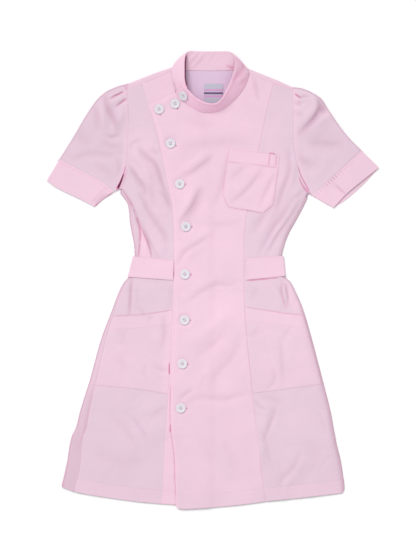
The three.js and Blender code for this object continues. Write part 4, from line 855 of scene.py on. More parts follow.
def shell_mesh(name, grid, half, keep=None, ring=False, **attributes):
    """Closed cloth with rounded edges on both sides of a grid of middle places"""
    x, y = xy(grid)
    # Painted shade: a redder line by the body's outline and along the shaded routes, and darkening in valleys
    # and by the outline
    outline_shade = RIM_PAINTED_SHADE["strength"] * np.exp(-from_outline(x, y) / RIM_PAINTED_SHADE["reach"])
    attributes.setdefault("deep", cavity(x, y))
    attributes.setdefault("shade", np.maximum(along_routes(SHADED, x, y), outline_shade))
    rows, count = grid.shape[:2]
    total = rows * count
    cells = count if ring else count - 1
    j, i = np.nonzero(np.ones((rows - 1, cells), bool) if keep is None else keep)
    after = (i + 1) % count
    quads = np.stack([j * count + i, j * count + after, (j + 1) * count + after, (j + 1) * count + i], axis=1)
    flat = grid.reshape(-1, 3)
    a, b, c, d = (flat[quads[:, k]] for k in range(4))
    face_normals = unit(np.cross(c - a, d - b))
    normals = np.zeros_like(flat)
    for k in range(4):
        np.add.at(normals, quads[:, k], face_normals)
    normals = unit(normals)

    # Edges that only one face has, with the way that leads out of the cloth there
    sides = np.concatenate([quads[:, [k, (k + 1) % 4]] for k in range(4)])
    side_face = np.tile(np.arange(len(quads)), 4)
    key = sides.min(1) * total + sides.max(1)
    _, position, uses = np.unique(key, return_inverse=True, return_counts=True)
    single = uses[position] == 1
    rim, rim_face = sides[single], side_face[single]
    edge_out = unit(np.cross(flat[rim[:, 1]] - flat[rim[:, 0]], face_normals[rim_face]))
    outward = np.zeros_like(flat)
    for k in range(2):
        np.add.at(outward, rim[:, k], edge_out)
    outward = unit(outward)

    # The upper and lower sides and the rounded rim between them
    def numbered(corners):
        at = np.unique(corners)
        number = np.zeros(total, int)
        number[at] = np.arange(len(at))
        return at, number

    used_at, number = numbered(quads)
    rim_at, rim_number = numbered(rim)
    reach = np.broadcast_to(half, (rows, count)).reshape(-1, 1)
    layers = [flat[used_at] + way * normals[used_at] * reach[used_at] for way in (1, -1)]
    for angle in RIM_ANGLES:
        way = math.cos(angle) * normals[rim_at] + math.sin(angle) * outward[rim_at]
        layers.append(flat[rim_at] + way * reach[rim_at])
    source = np.concatenate([used_at, used_at] + [rim_at] * len(RIM_ANGLES))
    n, m = len(used_at), len(rim_at)
    faces = [number[quads], number[quads][:, ::-1] + n]
    rounded = [2 * n + k * m + rim_number[rim] for k in range(len(RIM_ANGLES))]
    levels = [number[rim], *rounded, number[rim] + n]
    for upper, lower in zip(levels, levels[1:]):
        faces.append(np.stack([upper[:, 1], upper[:, 0], lower[:, 0], lower[:, 1]], axis=1))
    vertices, faces = metres(np.vstack(layers)), np.concatenate(faces)

    mesh = bpy.data.meshes.new(name)
    mesh.vertices.add(len(vertices))
    mesh.vertices.foreach_set("co", vertices.astype(np.float32).ravel())
    mesh.loops.add(faces.size)
    mesh.loops.foreach_set("vertex_index", faces.astype(np.int32).ravel())
    mesh.polygons.add(len(faces))
    mesh.polygons.foreach_set("loop_start", np.arange(0, faces.size, 4, dtype=np.int32))
    mesh.update(calc_edges=True)
    mesh.validate()
    mesh.shade_smooth()
    for attribute, values in attributes.items():
        layer = mesh.attributes.new(attribute, "FLOAT", "POINT")
        layer.data.foreach_set("value", values.ravel()[source].astype(np.float32))
    return put(name, mesh)


def sweep(name, lines, radius, sides, profile):
    """One mesh of many short threads, each a line of places with a width at each of them"""
    lines = np.asarray(lines, float)
    strands, count = lines.shape[:2]
    tangent = unit(np.gradient(lines, axis=1))
    sideways = np.cross(tangent, np.array([0, 0, 1.0]))
    upright = np.linalg.norm(sideways, axis=2, keepdims=True) < 1e-3
    sideways = unit(np.where(upright, np.array([1.0, 0, 0]), sideways))
    across = np.cross(sideways, tangent)
    angle = 2 * np.pi * np.arange(sides) / sides
    ring = np.cos(angle)[:, None] * sideways[:, :, None] + np.sin(angle)[:, None] * across[:, :, None]
    vertices = lines[:, :, None] + ring * radius * np.asarray(profile)[None, :, None, None]
    base = (np.arange(strands) * count * sides)[:, None, None]
    k = np.arange(count - 1)[None, :, None] * sides
    s = np.arange(sides)[None, None]
    after = (s + 1) % sides
    onward = base + k + sides
    quads = np.stack([base + k + s, base + k + after, onward + after, onward + s], axis=-1)
    faces = quads.reshape(-1, 4).tolist()
    for start, turn in ((0, 1), ((count - 1) * sides, -1)):
        corner = base[:, 0] + start + (np.arange(sides)[None] * -turn) % sides
        for c in range(1, sides - 1, 2):
            picked = corner[:, [0, c, c + 1, min(c + 2, sides - 1)]]
            faces.extend(cap if cap[2] != cap[3] else cap[:3] for cap in picked.tolist())
    mesh = bpy.data.meshes.new(name)
    mesh.from_pydata(metres(vertices.reshape(-1, 3)).tolist(), [], faces)
    mesh.validate()
    mesh.shade_smooth()
    return put(name, mesh)


# Materials
SINGLE_COLOUR = (0.745, 0.560, 0.665, 1)
DOUBLE_COLOUR = (0.835, 0.580, 0.700, 1)
INSIDE_COLOUR = (0.720, 0.540, 0.700, 1)
MANY_PLIES_COLOUR = (0.930, 0.560, 0.720, 1)
# Painted shade: darker in valleys and by outlines, red in shade, dark in gaps; painted pink light on the
# collar's front
PAINTED_SHADE_COLOUR = (0.540, 0.345, 0.445, 1)
COLLAR_BOUNCE_PINK_COLOUR = (0.950, 0.585, 0.755, 1)
SHADE_COLOUR = (0.620, 0.150, 0.330, 1)
GAP_SHADOW_COLOUR = (0.030, 0.004, 0.012, 1)
MILK, PEARL = (0.70, 0.665, 0.725, 1), (0.76, 0.72, 0.78, 1)
LABEL_GROUND, LABEL_STRIPE, LABEL_LINE = (0.52, 0.52, 0.60, 1), (0.66, 0.34, 0.60, 1), (0.16, 0.08, 0.20, 1)
LABEL_STOPS = [
    (0.0, LABEL_GROUND), (0.3, LABEL_STRIPE), (0.4, LABEL_GROUND), (0.46, LABEL_LINE), (0.56, LABEL_GROUND),
    (0.62, LABEL_STRIPE), (0.72, LABEL_GROUND),
]
PAPER_COLOURS = (0.98, 0.98, 0.98, 1), (1.0, 1.0, 1.0, 1)

# Spacing of the ribs and depth of the weave, in metres, and what a wave texture's scale is to one rib a metre
TWILL = {"spacing": 0.0008, "depth": 0.00006}
LABEL_WEAVE = {"spacing": 0.0005, "depth": 0.00008}
WAVE_SCALE = 0.314
YARN_SCALE = 1400.0


def new_material(name, roughness, **values):
    """A material with its constant values on the shader's own sockets"""
    material = bpy.data.materials.new(name)
    material.use_nodes = True
    tree = material.node_tree
    shader = tree.nodes["Principled BSDF"]
    values = {"roughness": roughness, "specular_IOR_level": 0.2, **values}
    for key, value in values.items():
        words = [word if word == "IOR" else word.capitalize() for word in key.split("_")]
        shader.inputs[" ".join(words)].default_value = value
    return material, tree, shader


def add_node(tree, kind, inputs, **settings):
    """A node with settings, and with a value or another node's output on each input named"""
    node = tree.nodes.new(f"ShaderNode{kind}")
    for setting, value in settings.items():
        setattr(node, setting, value)
    for key, value in inputs.items():
        if isinstance(value, bpy.types.NodeSocket):
            tree.links.new(value, node.inputs[key])
        else:
            node.inputs[key].default_value = value
    return node


def own_place(tree):
    """Output with a place on the object, from one node that the material's textures share"""
    coordinates = tree.nodes.get("Texture Coordinate") or tree.nodes.new("ShaderNodeTexCoord")
    return coordinates.outputs["Object"]


def noise(tree, scale, detail, distortion=0.0, roughness=0.5, output="Fac"):
    return add_node(tree, "TexNoise", {
        "Vector": own_place(tree), "Scale": scale, "Detail": detail, "Distortion": distortion,
        "Roughness": roughness,
    }).outputs[output]


def mapped(tree, value, low, high, to_low=0.0, to_high=1.0):
    return add_node(tree, "MapRange", {
        "Value": value, "From Min": low, "From Max": high, "To Min": to_low, "To Max": to_high,
    }).outputs[0]


def arithmetic(tree, operation, *values, use_clamp=False):
    inputs = dict(enumerate(values))
    return add_node(tree, "Math", inputs, operation=operation, use_clamp=use_clamp).outputs[0]


def mixed(tree, factor, first, second, blend="MIX"):
    """Colour mix of two colours or outputs by a factor"""
    inputs = {0: factor, 6: first, 7: second}
    return add_node(tree, "Mix", inputs, data_type="RGBA", blend_type=blend).outputs[2]


def weave_bump(tree, shader, spacing, depth):
    """Fine diagonal ribs of a twill, broken up by the yarns"""
    ribs = add_node(
        tree, "TexWave",
        {
            "Vector": own_place(tree), "Scale": WAVE_SCALE / spacing, "Distortion": 1.2, "Detail": 1.0,
            "Detail Scale": 2.0,
        },
        wave_type="BANDS", bands_direction="DIAGONAL",
    )
    height = arithmetic(tree, "MULTIPLY_ADD", ribs.outputs["Fac"], 0.5, noise(tree, YARN_SCALE, 2.0))
    bump = add_node(tree, "Bump", {"Strength": 0.22, "Distance": depth, "Height": height})
    tree.links.new(bump.outputs["Normal"], shader.inputs["Normal"])


def cloth_material(name, deep_colour):
    """Twill whose colour follows its plies, with painted shade in valleys, by outlines, in shade and in gaps,
    and painted light on the collar
    """
    material, tree, shader = new_material(
        name, 0.86, sheen_weight=0.12, sheen_roughness=0.45, sheen_tint=(1.0, 0.9, 0.95, 1),
    )
    ply, deep, inner, shade = (
        add_node(tree, "Attribute", {}, attribute_name=attribute).outputs["Fac"]
        for attribute in ("ply", "deep", "inner", "shade")
    )
    uneven = mapped(tree, noise(tree, 14.0, 3.0, distortion=0.6), 0.35, 0.65, -0.2, 0.14)
    seen_plies = arithmetic(tree, "ADD", ply, uneven, use_clamp=True)
    base = mixed(tree, seen_plies, SINGLE_COLOUR, DOUBLE_COLOUR)
    for factor, colour in (
        (mapped(tree, ply, 1.0, 2.0), MANY_PLIES_COLOUR), (inner, INSIDE_COLOUR), (deep, deep_colour),
        (mapped(tree, shade, 0.0, 0.5), SHADE_COLOUR), (mapped(tree, shade, 0.5, 1.0), GAP_SHADOW_COLOUR),
    ):
        base = mixed(tree, factor, base, colour)
    broad = mapped(tree, noise(tree, 9.0, 3.0, roughness=0.6), 0.3, 0.7, 0.975, 1.015)
    slub = mapped(tree, noise(tree, 260.0, 2.0), 0.3, 0.7, 0.99, 1.006)
    toned = mixed(tree, 1.0, base, arithmetic(tree, "MULTIPLY", broad, slub), "MULTIPLY")
    tree.links.new(toned, shader.inputs["Base Color"])
    weave_bump(tree, shader, **TWILL)
    return material


def mottled_material(name, roughness, scale, detail, first, second, distortion=0.0, **values):
    """Two near colours mixed by a noise"""
    material, tree, shader = new_material(name, roughness, **values)
    colour = mixed(tree, noise(tree, scale, detail, distortion), first, second)
    tree.links.new(colour, shader.inputs["Base Color"])
    return material


def thread_material(name, colour):
    lighter = tuple(min(1, 1.12 * part) for part in colour[:3]) + (1,)
    return mottled_material(name, 0.55, 2600.0, 1.0, colour, lighter, sheen_weight=0.1)


def label_material():
    """Woven ground with three plain stripes across it"""
    material, tree, shader = new_material("label_weave", 0.6)
    height = add_node(tree, "SeparateXYZ", {0: own_place(tree)}).outputs["Y"]
    ramp = add_node(tree, "ValToRGB", {"Fac": mapped(tree, height, label_low.y, label_high.y)})
    ramp.color_ramp.interpolation = "CONSTANT"
    elements = ramp.color_ramp.elements
    for k, (at, colour) in enumerate(LABEL_STOPS):
        element = elements[k] if k < 2 else elements.new(at)
        element.position = at
        element.color = colour
    grain = noise(tree, 900.0, 2.0, output="Color")
    worn = mixed(tree, 0.12, ramp.outputs["Color"], grain, "OVERLAY")
    tree.links.new(worn, shader.inputs["Base Color"])
    weave_bump(tree, shader, **LABEL_WEAVE)
    return material


twill = cloth_material("twill", PAINTED_SHADE_COLOUR)
collar_twill = cloth_material("collar_twill", COLLAR_BOUNCE_PINK_COLOUR)
thread = thread_material("sewing_thread", (0.80, 0.46, 0.62, 1))
button_thread = thread_material("button_thread", (0.60, 0.50, 0.58, 1))
hole_thread = thread_material("buttonhole_thread", (0.74, 0.36, 0.54, 1))
resin = mottled_material(
    "button_resin", 0.5, 160.0, 3.0, MILK, PEARL, distortion=1.0,
    specular_IOR_level=0.3, subsurface_weight=0.15, subsurface_scale=0.002,
)
woven = label_material()


# Cloth pieces and their stitches
STITCH_STEPS = np.array([0, 0.25, 0.75, 1.0])
STITCH_HEIGHTS = np.array([-0.28, 0.06, 0.06, -0.28])
STITCH_PROFILE = (0.55, 1, 1, 0.55)
UP = np.array([0, 0, 1.0])
HEM = {"band": 25.0, "thickness": 0.22, "ply_ends": (24, 26)}
BAND_FADE = 1.5
SIDE_TUCK = ((0.15, 0.55), (0.6, ALLOWANCE_DROP), (4, ALLOWANCE_DROP), (ALLOWANCE, ALLOWANCE_DROP))
BACK_TUCK = ((0.5, 0.6), (4, ALLOWANCE_DROP), (ALLOWANCE, ALLOWANCE_DROP))
PATCH = {"half": 0.3, "band_half": 0.16, "clearance": 0.35}
threads = {}


class Cloth:
    """One cloth piece as a grid of middle places, with its thickness and the distances from its edges"""

    def __init__(self, grid, half, from_start=None, from_end=None):
        self.grid = grid
        self.half = np.broadcast_to(half, grid.shape[:2]).copy()
        self.from_start = from_start
        self.from_end = from_end

    def top(self):
        """Upper surface, for pieces that lie flat"""
        return self.grid + UP * self.half[..., None]


def finish_piece(piece, material, node=None, slot=None):
    piece.data.materials.clear()
    piece.data.materials.append(material)
    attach(piece, "root")
    if node:
        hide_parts(node)
    return piece


def add_cloth(name, slot, grid, half, material=twill, **shape):
    finish_piece(shell_mesh(f"{name}_cloth", grid, half, **shape), material, name, slot)


def facing_up(side, cloth):
    """Grid, thickness and plies of a side piece, with its columns turned round on the wearer's left"""
    step = -SIGN[side]
    return {"grid": cloth.grid[:, ::step], "half": cloth.half[:, ::step], "ply": cloth.ply[:, ::step]}


def line_at(surface, distances, value):
    """Line on a surface where a distance has a value in each row"""
    line = []
    for row, away in zip(surface, distances):
        order = np.argsort(away)
        line.append(sample(value, away[order], row[order]))
    return np.array(line)


def add_stitches(name, *lines):
    """Stitches on lines of places, each a short thread whose ends go down into the cloth"""
    for line in lines:
        total = lengths_along(line)[-1]
        starts = np.arange(STITCH["pitch"] / 2, total - STITCH["length"], STITCH["pitch"])
        stitches = by_length(line)((starts[:, None] + STITCH_STEPS * STITCH["length"]) / total)
        stitches[..., 2] += STITCH_HEIGHTS
        threads.setdefault(name, []).append(stitches)


def in_band(distance, band, fade=BAND_FADE):
    """Which places are in a turned-over band, from 0 to 1"""
    return fading(distance, band - 0.5, band + fade)


def turn_up_hem(cloth):
    """Adds the hem's plies below, with a stitch line at their top, and returns which places are in it"""
    up = cloth.grid[..., 1] - cloth.grid[0, :, 1]
    extra = HEM["thickness"] * in_band(up, HEM["band"])
    cloth.half += extra
    cloth.grid[..., 2] += stitch_groove(up, HEM["band"]) - extra
    return fading(up, *HEM["ply_ends"])


def allowance(seam, way, steps):
    """Columns that go down past a seam and under the neighbour, each by a reach and a drop"""
    tucked = []
    for reach, drop in steps:
        place = seam + way * reach
        tucked.append(with_height(place, front(*xy(place)) + MIDDLE - drop))
    return np.stack(tucked, axis=1)


# Side fronts, from the side seam and armhole to the princess seam, with an allowance under the centre panel
PRINCESS_VALLEY = {"right": 0.3, "left": SEAM_VALLEY}
SIDE_HEM_PLY = 0.36
TUCK_HALF = 0.2


def side_front(side):
    side_y, princess_y = level(f"side_{side}"), level(f"princess_{side}")
    inset = -SIGN[side] * HALF_GAP
    outer = np.stack([side_edge(side, side_y) + inset, side_y], axis=1)
    inner = np.stack([princess[side](princess_y) - inset, princess_y], axis=1)
    u, from_start, from_end = share_out(outer, inner, [(1, 46)])
    plan = panel(outer, inner, u, sags=level(f"sag_{side}"))
    x, y = xy(plan)
    z = front(x, y) + MIDDLE + valley(from_start) + valley(from_end, PRINCESS_VALLEY[side])
    z += pucker(y, from_start, 21) + pucker(y, from_end, 22)
    cloth = Cloth(with_height(plan, z), SINGLE / 2)
    ply = np.maximum(SIDE_HEM_PLY * turn_up_hem(cloth), along_routes(LIGHTER_PINKER_STRIPS, x, y))
    tuck = allowance(inner, unit(inner - outer), SIDE_TUCK)
    cloth.grid = np.concatenate([cloth.grid, tuck], axis=1)
    more = ((0, 0), (0, tuck.shape[1]))
    cloth.half = np.pad(cloth.half, more, constant_values=TUCK_HALF)
    cloth.ply = np.pad(ply, more, mode="edge")
    cloth.from_start = np.pad(from_start, more, constant_values=FAR)
    cloth.from_end = np.pad(from_end, more, constant_values=-1)
    return cloth


# Skirt pocket: the rows of its side front between two named rows, moved out onto the panel
SKIRT_POCKET_PLY = {"single": 0.45, "band": 0.25}
RIGHT_STRIP = {"ply": 0.4, "ends": (9, 15)}
POCKET_MOUTH = {"rise": 0.35, "reach": 7}


def pocket_on(side, cloth):
    first, last = (nearest(ROWS, ROW_NAMES.index(name)) for name in ("pocket_bottom", "pocket_top"))
    inside = cloth.from_end[0] >= 0
    grid, from_start, from_end = (
        values[first:last + 1][:, inside] for values in (cloth.grid, cloth.from_start, cloth.from_end)
    )
    x, y = xy(grid)
    from_bottom, from_top = y - y[0], y[-1] - y
    z = front(x, y) + MIDDLE + SINGLE / 2 + PATCH["clearance"]
    z += pucker(y, from_start, 31) + pucker(y, from_end, 32) + pucker(x, from_bottom, 33)
    z += valley(from_start, 0.3) + valley(from_end, 0.3)
    z += stitch_groove(from_bottom, NARROW_STITCH) + stitch_groove(from_top, SKIRT_POCKET_BAND)
    slack = 1 + 0.5 * rumple(x, y * 0, 26, 35)
    z += POCKET_MOUTH["rise"] * np.exp(-from_top / POCKET_MOUTH["reach"]) * slack
    grid[..., 2] = z
    band = in_band(from_top, SKIRT_POCKET_BAND)
    pocket = Cloth(grid, PATCH["half"] + PATCH["band_half"] * band)
    pocket.ply = SKIRT_POCKET_PLY["single"] + SKIRT_POCKET_PLY["band"] * band
    if side == "right":
        pocket.ply += RIGHT_STRIP["ply"] * fading(from_end, *RIGHT_STRIP["ends"])
    return pocket, from_bottom, from_top


for side in SIGN:
    side_cloth = side_front(side)
    add_cloth(f"side_front_{side}", "cloth_single", **facing_up(side, side_cloth))
    add_stitches(f"side_front_{side}", side_cloth.top()[STITCH_ROW, side_cloth.from_end[0] >= 1])
    pocket, from_bottom, from_top = pocket_on(side, side_cloth)
    add_cloth(f"pocket_skirt_{side}", "cloth_double", **facing_up(side, pocket))
    surface = pocket.top().transpose(1, 0, 2)
    for distances, place in ((from_bottom, NARROW_STITCH), (from_top, SKIRT_POCKET_BAND)):
        add_stitches(f"pocket_skirt_{side}", line_at(surface, distances.T, place)[3:-3])

# Centre panels
UNDERLAP_STITCH = 3.0
UNDERLAP_STITCH_TOP = 240
UNDERLAP_PLY = {"hem": 1.12, "skirt": 1.08, "less": 0.2, "over": (500, 700)}
UNDERLAP_SEEN = {"beside": (-1, 7), "above": (-8, 1), "from": (795, 803), "rise": 0.3, "sink": 0.6}
OVERLAP_PLY = {
    "body": 0.86, "less": 0.22, "over": (120, 300), "hem_less": 0.14, "edge": 1.08, "edge_ends": (5, 8),
}
OVERLAP_EDGE = {"fall": 1.25, "width": 9, "calm": (8, 16)}
OVERLAP_END_STITCH = 2.6
OVERLAP_SHARES = {"diagonal": 2 / 13, "neck": 10 / 13}
OVERLAP_STITCH_TOP = 1.35


def centre_levels(name, top_y):
    levels = level(name)
    end, last = LIFT["end"], ROW_VALUES[-1, ROW_COLUMNS[name]]
    return np.where(levels <= end, levels, end + (levels - end) * (top_y - end) / (last - end))


def underlap():
    top = joined([(UNDERLAP_SHOULDER, 2), (UNDERLAP_NECK, 4)])
    start_y, end_y = (centre_levels("princess_right", top(at)[1]) for at in (0.0, 1.0))
    end_y[0] = UNDERLAP_HEM_Y
    outer = np.stack([princess["right"](start_y) + HALF_GAP, start_y], axis=1)
    inner = np.stack([underlap_edge(end_y), end_y], axis=1)
    u, from_start, _ = share_out(outer, inner, [(1 / 3, 8), (1, 14)])
    plan = panel(outer, inner, u, top=top)
    x, y = xy(plan)
    seen = fading(x - overlap_edge(np.clip(y, 0, 850)), *UNDERLAP_SEEN["beside"])
    above = smoothstep(y - np.interp(x, *np.array(OVERLAP_DIAGONAL).T), *UNDERLAP_SEEN["above"])
    seen = np.maximum(seen, above * smoothstep(y, *UNDERLAP_SEEN["from"]))
    z = calm_front(y) + seen * (relief(x, y) + UNDERLAP_SEEN["rise"])
    z += MIDDLE - UNDERLAP_SEEN["sink"] * (1 - seen)
    z += 0.5 * valley(from_start) + pucker(y, from_start, 23)
    z += stitch_groove(from_start, UNDERLAP_STITCH) * (y < UNDERLAP_STITCH_TOP)
    cloth = Cloth(with_height(plan, z), SINGLE / 2, from_start)
    skirt = UNDERLAP_PLY["skirt"] - UNDERLAP_PLY["less"] * smoothstep(y, *UNDERLAP_PLY["over"])
    cloth.ply = np.maximum(UNDERLAP_PLY["hem"] * turn_up_hem(cloth), skirt)
    return cloth


def overlap():
    top = joined([(OVERLAP_DIAGONAL, 2), (OVERLAP_NECK, 8), (OVERLAP_SHOULDER, 3)])
    bottom = path(OVERLAP_HEM)
    start_y, end_y = (
        centre_levels(f"princess_{side}", top(at)[1]) for side, at in (("right", 0.0), ("left", 1.0))
    )
    outer = np.stack([overlap_edge(start_y), start_y], axis=1)
    outer[0], outer[-1] = bottom(0.0), top(0.0)
    inner = np.stack([princess["left"](end_y) - HALF_GAP, end_y], axis=1)
    stretches = [(OVERLAP_SHARES["diagonal"], 8), (OVERLAP_SHARES["neck"], 40), (1, 12)]
    u, from_start, from_end = share_out(outer, inner, stretches)
    plan = panel(outer, inner, u, bottom=bottom, top=top)
    x, y = xy(plan)
    diagonal = plan[-1, u[-1] <= OVERLAP_SHARES["diagonal"]]
    below = np.interp(x, diagonal[:, 0], diagonal[:, 1]) - y
    from_edge = np.where(x < diagonal[-1, 0], np.minimum(from_start, np.abs(below) * 0.92), from_start)
    z = front(x, y) + over_lap(x, y) + MIDDLE + valley(from_end) + pucker(y, from_end, 24)
    z += stitch_groove(from_edge, EDGE_STITCH) + 0.6 * pucker(y, np.abs(from_edge - 3), 25)
    calm = smoothstep(from_buttons(x, y), *OVERLAP_EDGE["calm"])
    z -= OVERLAP_EDGE["fall"] * fading(from_edge, 0, OVERLAP_EDGE["width"]) * calm
    cloth = Cloth(with_height(plan, z), DOUBLE / 2, from_start, from_end)
    ply = OVERLAP_PLY["body"] - OVERLAP_PLY["less"] * fading(y, *OVERLAP_PLY["over"])
    ply -= OVERLAP_PLY["hem_less"] * turn_up_hem(cloth)
    cloth.ply = np.maximum(ply, OVERLAP_PLY["edge"] * fading(from_edge, *OVERLAP_PLY["edge_ends"]))
    return cloth


under = underlap()
add_cloth("front_underlap", "cloth_single", under.grid, under.half, ply=under.ply)
seen_rows = ROWS < ROW_NAMES.index("pocket_bottom") + 2
edge_line = line_at(under.top(), under.from_start, UNDERLAP_STITCH)
add_stitches("front_underlap", edge_line[seen_rows], under.top()[STITCH_ROW, 4:14])

over = overlap()
add_cloth("front_overlap", "cloth_double", over.grid, over.half, ply=over.ply)
add_stitches(
    "front_overlap",
    line_at(over.top(), over.from_start, EDGE_STITCH)[ROWS < len(BODY_ROWS) - OVERLAP_STITCH_TOP],
    line_at(over.top(), over.from_end, OVERLAP_END_STITCH)[ROWS < len(BODY_ROWS) - 2],
    over.top()[STITCH_ROW, 3:-3],
)

# Back panel, wrapped round both sides to the side seams and over the shoulders to the shoulder seams, and
# how strongly painted shade darkens its wrapped sides towards the hem
ARC_CELLS = 6
WING_CELLS = 7
SHOULDER_CELLS = 5
SHOULDER_SHARE = 3 / 12
BACK_PLY = {"hem": 0.5, "wrapped": 0.3, "shoulder": 0.7}
WRAP_SHADE = {"strength": 0.3, "over": (120, 340)}


def over_edge(edge, way, seam, cells, rippled):
    """Columns from the back's edge round its fold, over the front to a seam, and under the neighbour there"""
    way = np.tile(way, (len(edge), 1))
    high = with_height(edge[:, :2], front(*xy(edge)) + MIDDLE)
    arc = fold_columns(edge, high, way, FOLD_REACH, ARC_CELLS)
    strip = between(high[:, :2], seam, np.linspace(0, 1, cells + 1)[1:])
    to_seam = np.linalg.norm(strip - seam[:, None], axis=2)
    z = front(*xy(strip)) + MIDDLE + valley(to_seam) + rippled * pucker(strip[..., 1], to_seam, 26)
    tuck = allowance(seam, -way, BACK_TUCK)
    return np.concatenate([arc, high[:, None], with_height(strip, z), tuck], axis=1)


def shoulder_line(u, name, shift=0.0):
    """The back's top: a line of the right shoulder, the neck, and the same line of the left shoulder"""
    right, left = (path(SHOULDERS[side][name]) for side in ("right", "left"))
    down = np.array([0, shift])
    neck_share = (u - SHOULDER_SHARE) / (1 - 2 * SHOULDER_SHARE)
    neck_x = BACK_NECK_X[0] + (BACK_NECK_X[1] - BACK_NECK_X[0]) * neck_share
    neck = np.stack([neck_x, np.full_like(neck_x, BACK_NECK_Y)], axis=-1)
    from_right = right(np.clip(u / SHOULDER_SHARE, 0, 1)) - down
    from_left = left(np.clip((u - 1 + SHOULDER_SHARE) / SHOULDER_SHARE, 0, 1)) - down
    picked = np.where((u <= SHOULDER_SHARE)[..., None], from_right, neck)
    return np.where((u >= 1 - SHOULDER_SHARE)[..., None], from_left, picked)


def back():
    half = SINGLE / 2
    inset = FOLD_REACH + half
    bottom = path(BACK_HEM)

    def top(u):
        return shoulder_line(np.asarray(u, float), "fold", inset)

    edges = {}
    for side, at in (("right", 0.0), ("left", 1.0)):
        levels, armpit = level(f"side_{side}"), ARMPIT_Y[side]
        stretch = (top(at)[1] - armpit) / (ROW_VALUES[-1, ROW_COLUMNS[f"side_{side}"]] - armpit)
        y = np.where(levels <= armpit, levels, armpit + (levels - armpit) * stretch)
        y = np.maximum(y, bottom(at)[1])
        by_fold, by_armhole = outline[side](y) - SIGN[side] * inset, armhole[side](y) - SIGN[side] * HALF_GAP
        edges[side] = np.stack([np.where(y < armpit, by_fold, by_armhole), y], axis=1)
        edges[side][-1] = top(at)
    right, left = edges["right"], edges["left"]
    u, _, _ = share_out(right, left, [(SHOULDER_SHARE, 12), (1 - SHOULDER_SHARE, 26), (1, 12)])
    plan = panel(right, left, u, bottom=bottom, top=top, top_from=ARMPIT_Y["right"])
    ripple = 0.05 + 0.05 * rumple(*xy(plan), 40, 61)
    main = with_height(plan, lift(plan[..., 1]) + half + ripple)

    # Columns beside each row and rows above the last one
    wings = {}
    for side, column in (("right", 0), ("left", -1)):
        seam_y = level(f"side_{side}")
        seam_x = side_edge(side, np.minimum(seam_y, ARMPIT_Y[side] - 0.01)) + SIGN[side] * HALF_GAP
        seam = np.stack([seam_x, seam_y], axis=1)
        wings[side] = over_edge(main[:, column], [SIGN[side], 0.0], seam, WING_CELLS, rippled=1)
    wing_cells = wings["right"].shape[1]
    shoulder_seam = shoulder_line(u[-1], "seam")
    shoulders = over_edge(main[-1], [0.0, 1.0], shoulder_seam, SHOULDER_CELLS, rippled=0).transpose(1, 0, 2)
    body = np.concatenate([wings["right"][:, ::-1], main, wings["left"]], axis=1)
    grid = np.concatenate([body, np.pad(shoulders, ((0, 0), (wing_cells, wing_cells), (0, 0)), mode="edge")])

    # The cells that there is cloth in
    is_wing = np.ones(grid.shape[1], bool)
    is_wing[wing_cells:-wing_cells] = False
    main_cell = ~(is_wing[:-1] | is_wing[1:])
    middle_u = (u[-1, 1:] + u[-1, :-1]) / 2
    on_shoulder = np.zeros(len(main_cell), bool)
    on_shoulder[main_cell] = (middle_u < SHOULDER_SHARE) | (middle_u > 1 - SHOULDER_SHARE)
    below_armpit = ROWS[1:] <= ROW_NAMES.index("wrap_end")
    keep = np.concatenate([
        main_cell[None] | below_armpit[:, None], np.tile(on_shoulder, (len(shoulders), 1)),
    ])

    x, y = xy(grid)
    hem_ply = BACK_PLY["hem"] * fading(y - y[0], *HEM["ply_ends"])
    ply = np.maximum(hem_ply, BACK_PLY["wrapped"] * is_wing[None])
    ply[len(ROWS):] = BACK_PLY["shoulder"]
    inner = np.tile(1.0 - is_wing, (len(grid), 1))
    inner[len(ROWS):] = 0
    # Painted shade on the wrapped sides towards the hem and in valleys, none on the inside of the back
    wrapped = WRAP_SHADE["strength"] * fading(y, *WRAP_SHADE["over"])
    deep = np.maximum(cavity(x, y), wrapped) * (1 - inner)
    add_cloth("back", "cloth_single", grid, half, keep=keep, ply=ply, inner=inner, deep=deep)


back()

# Sleeves and cuffs: flattened tubes between plan curves
UPPER_SHARES = np.unique(np.concatenate([np.linspace(0, 1, 110), [0.003, 0.997]]))
LOWER_SHARES = np.linspace(0, 1, 40)
UPPER = len(UPPER_SHARES)
SLEEVE_ROWS = np.concatenate([[0, 0.004, 0.01, 0.018, 0.03], np.linspace(0.045, 0.96, 68), [0.975, 0.988, 1]])
CUFF_ROWS = np.concatenate([[0, 0.01, 0.03, 0.06], np.linspace(0.1, 0.9, 17), [0.94, 0.97, 0.99, 1]])
HIDDEN_THICKNESS = 0.35
SLEEVE_PLY = 0.45
SLEEVE_FOLD_SHADE = 0.6
CUFF_RELIEF = 0.75
CUFF_ONWARD = CUFF_START - 0.25
CUFF_STITCH = 5.0
CUFF_PLY = {"body": 0.86, "seam": 0.2, "seam_ends": (8, 12)}
GATHERS = {"all_round": 2.0, "gathered": 6.0, "slope": (0.72, 0.69), "pace": 1.45, "deep_at": 0.45}


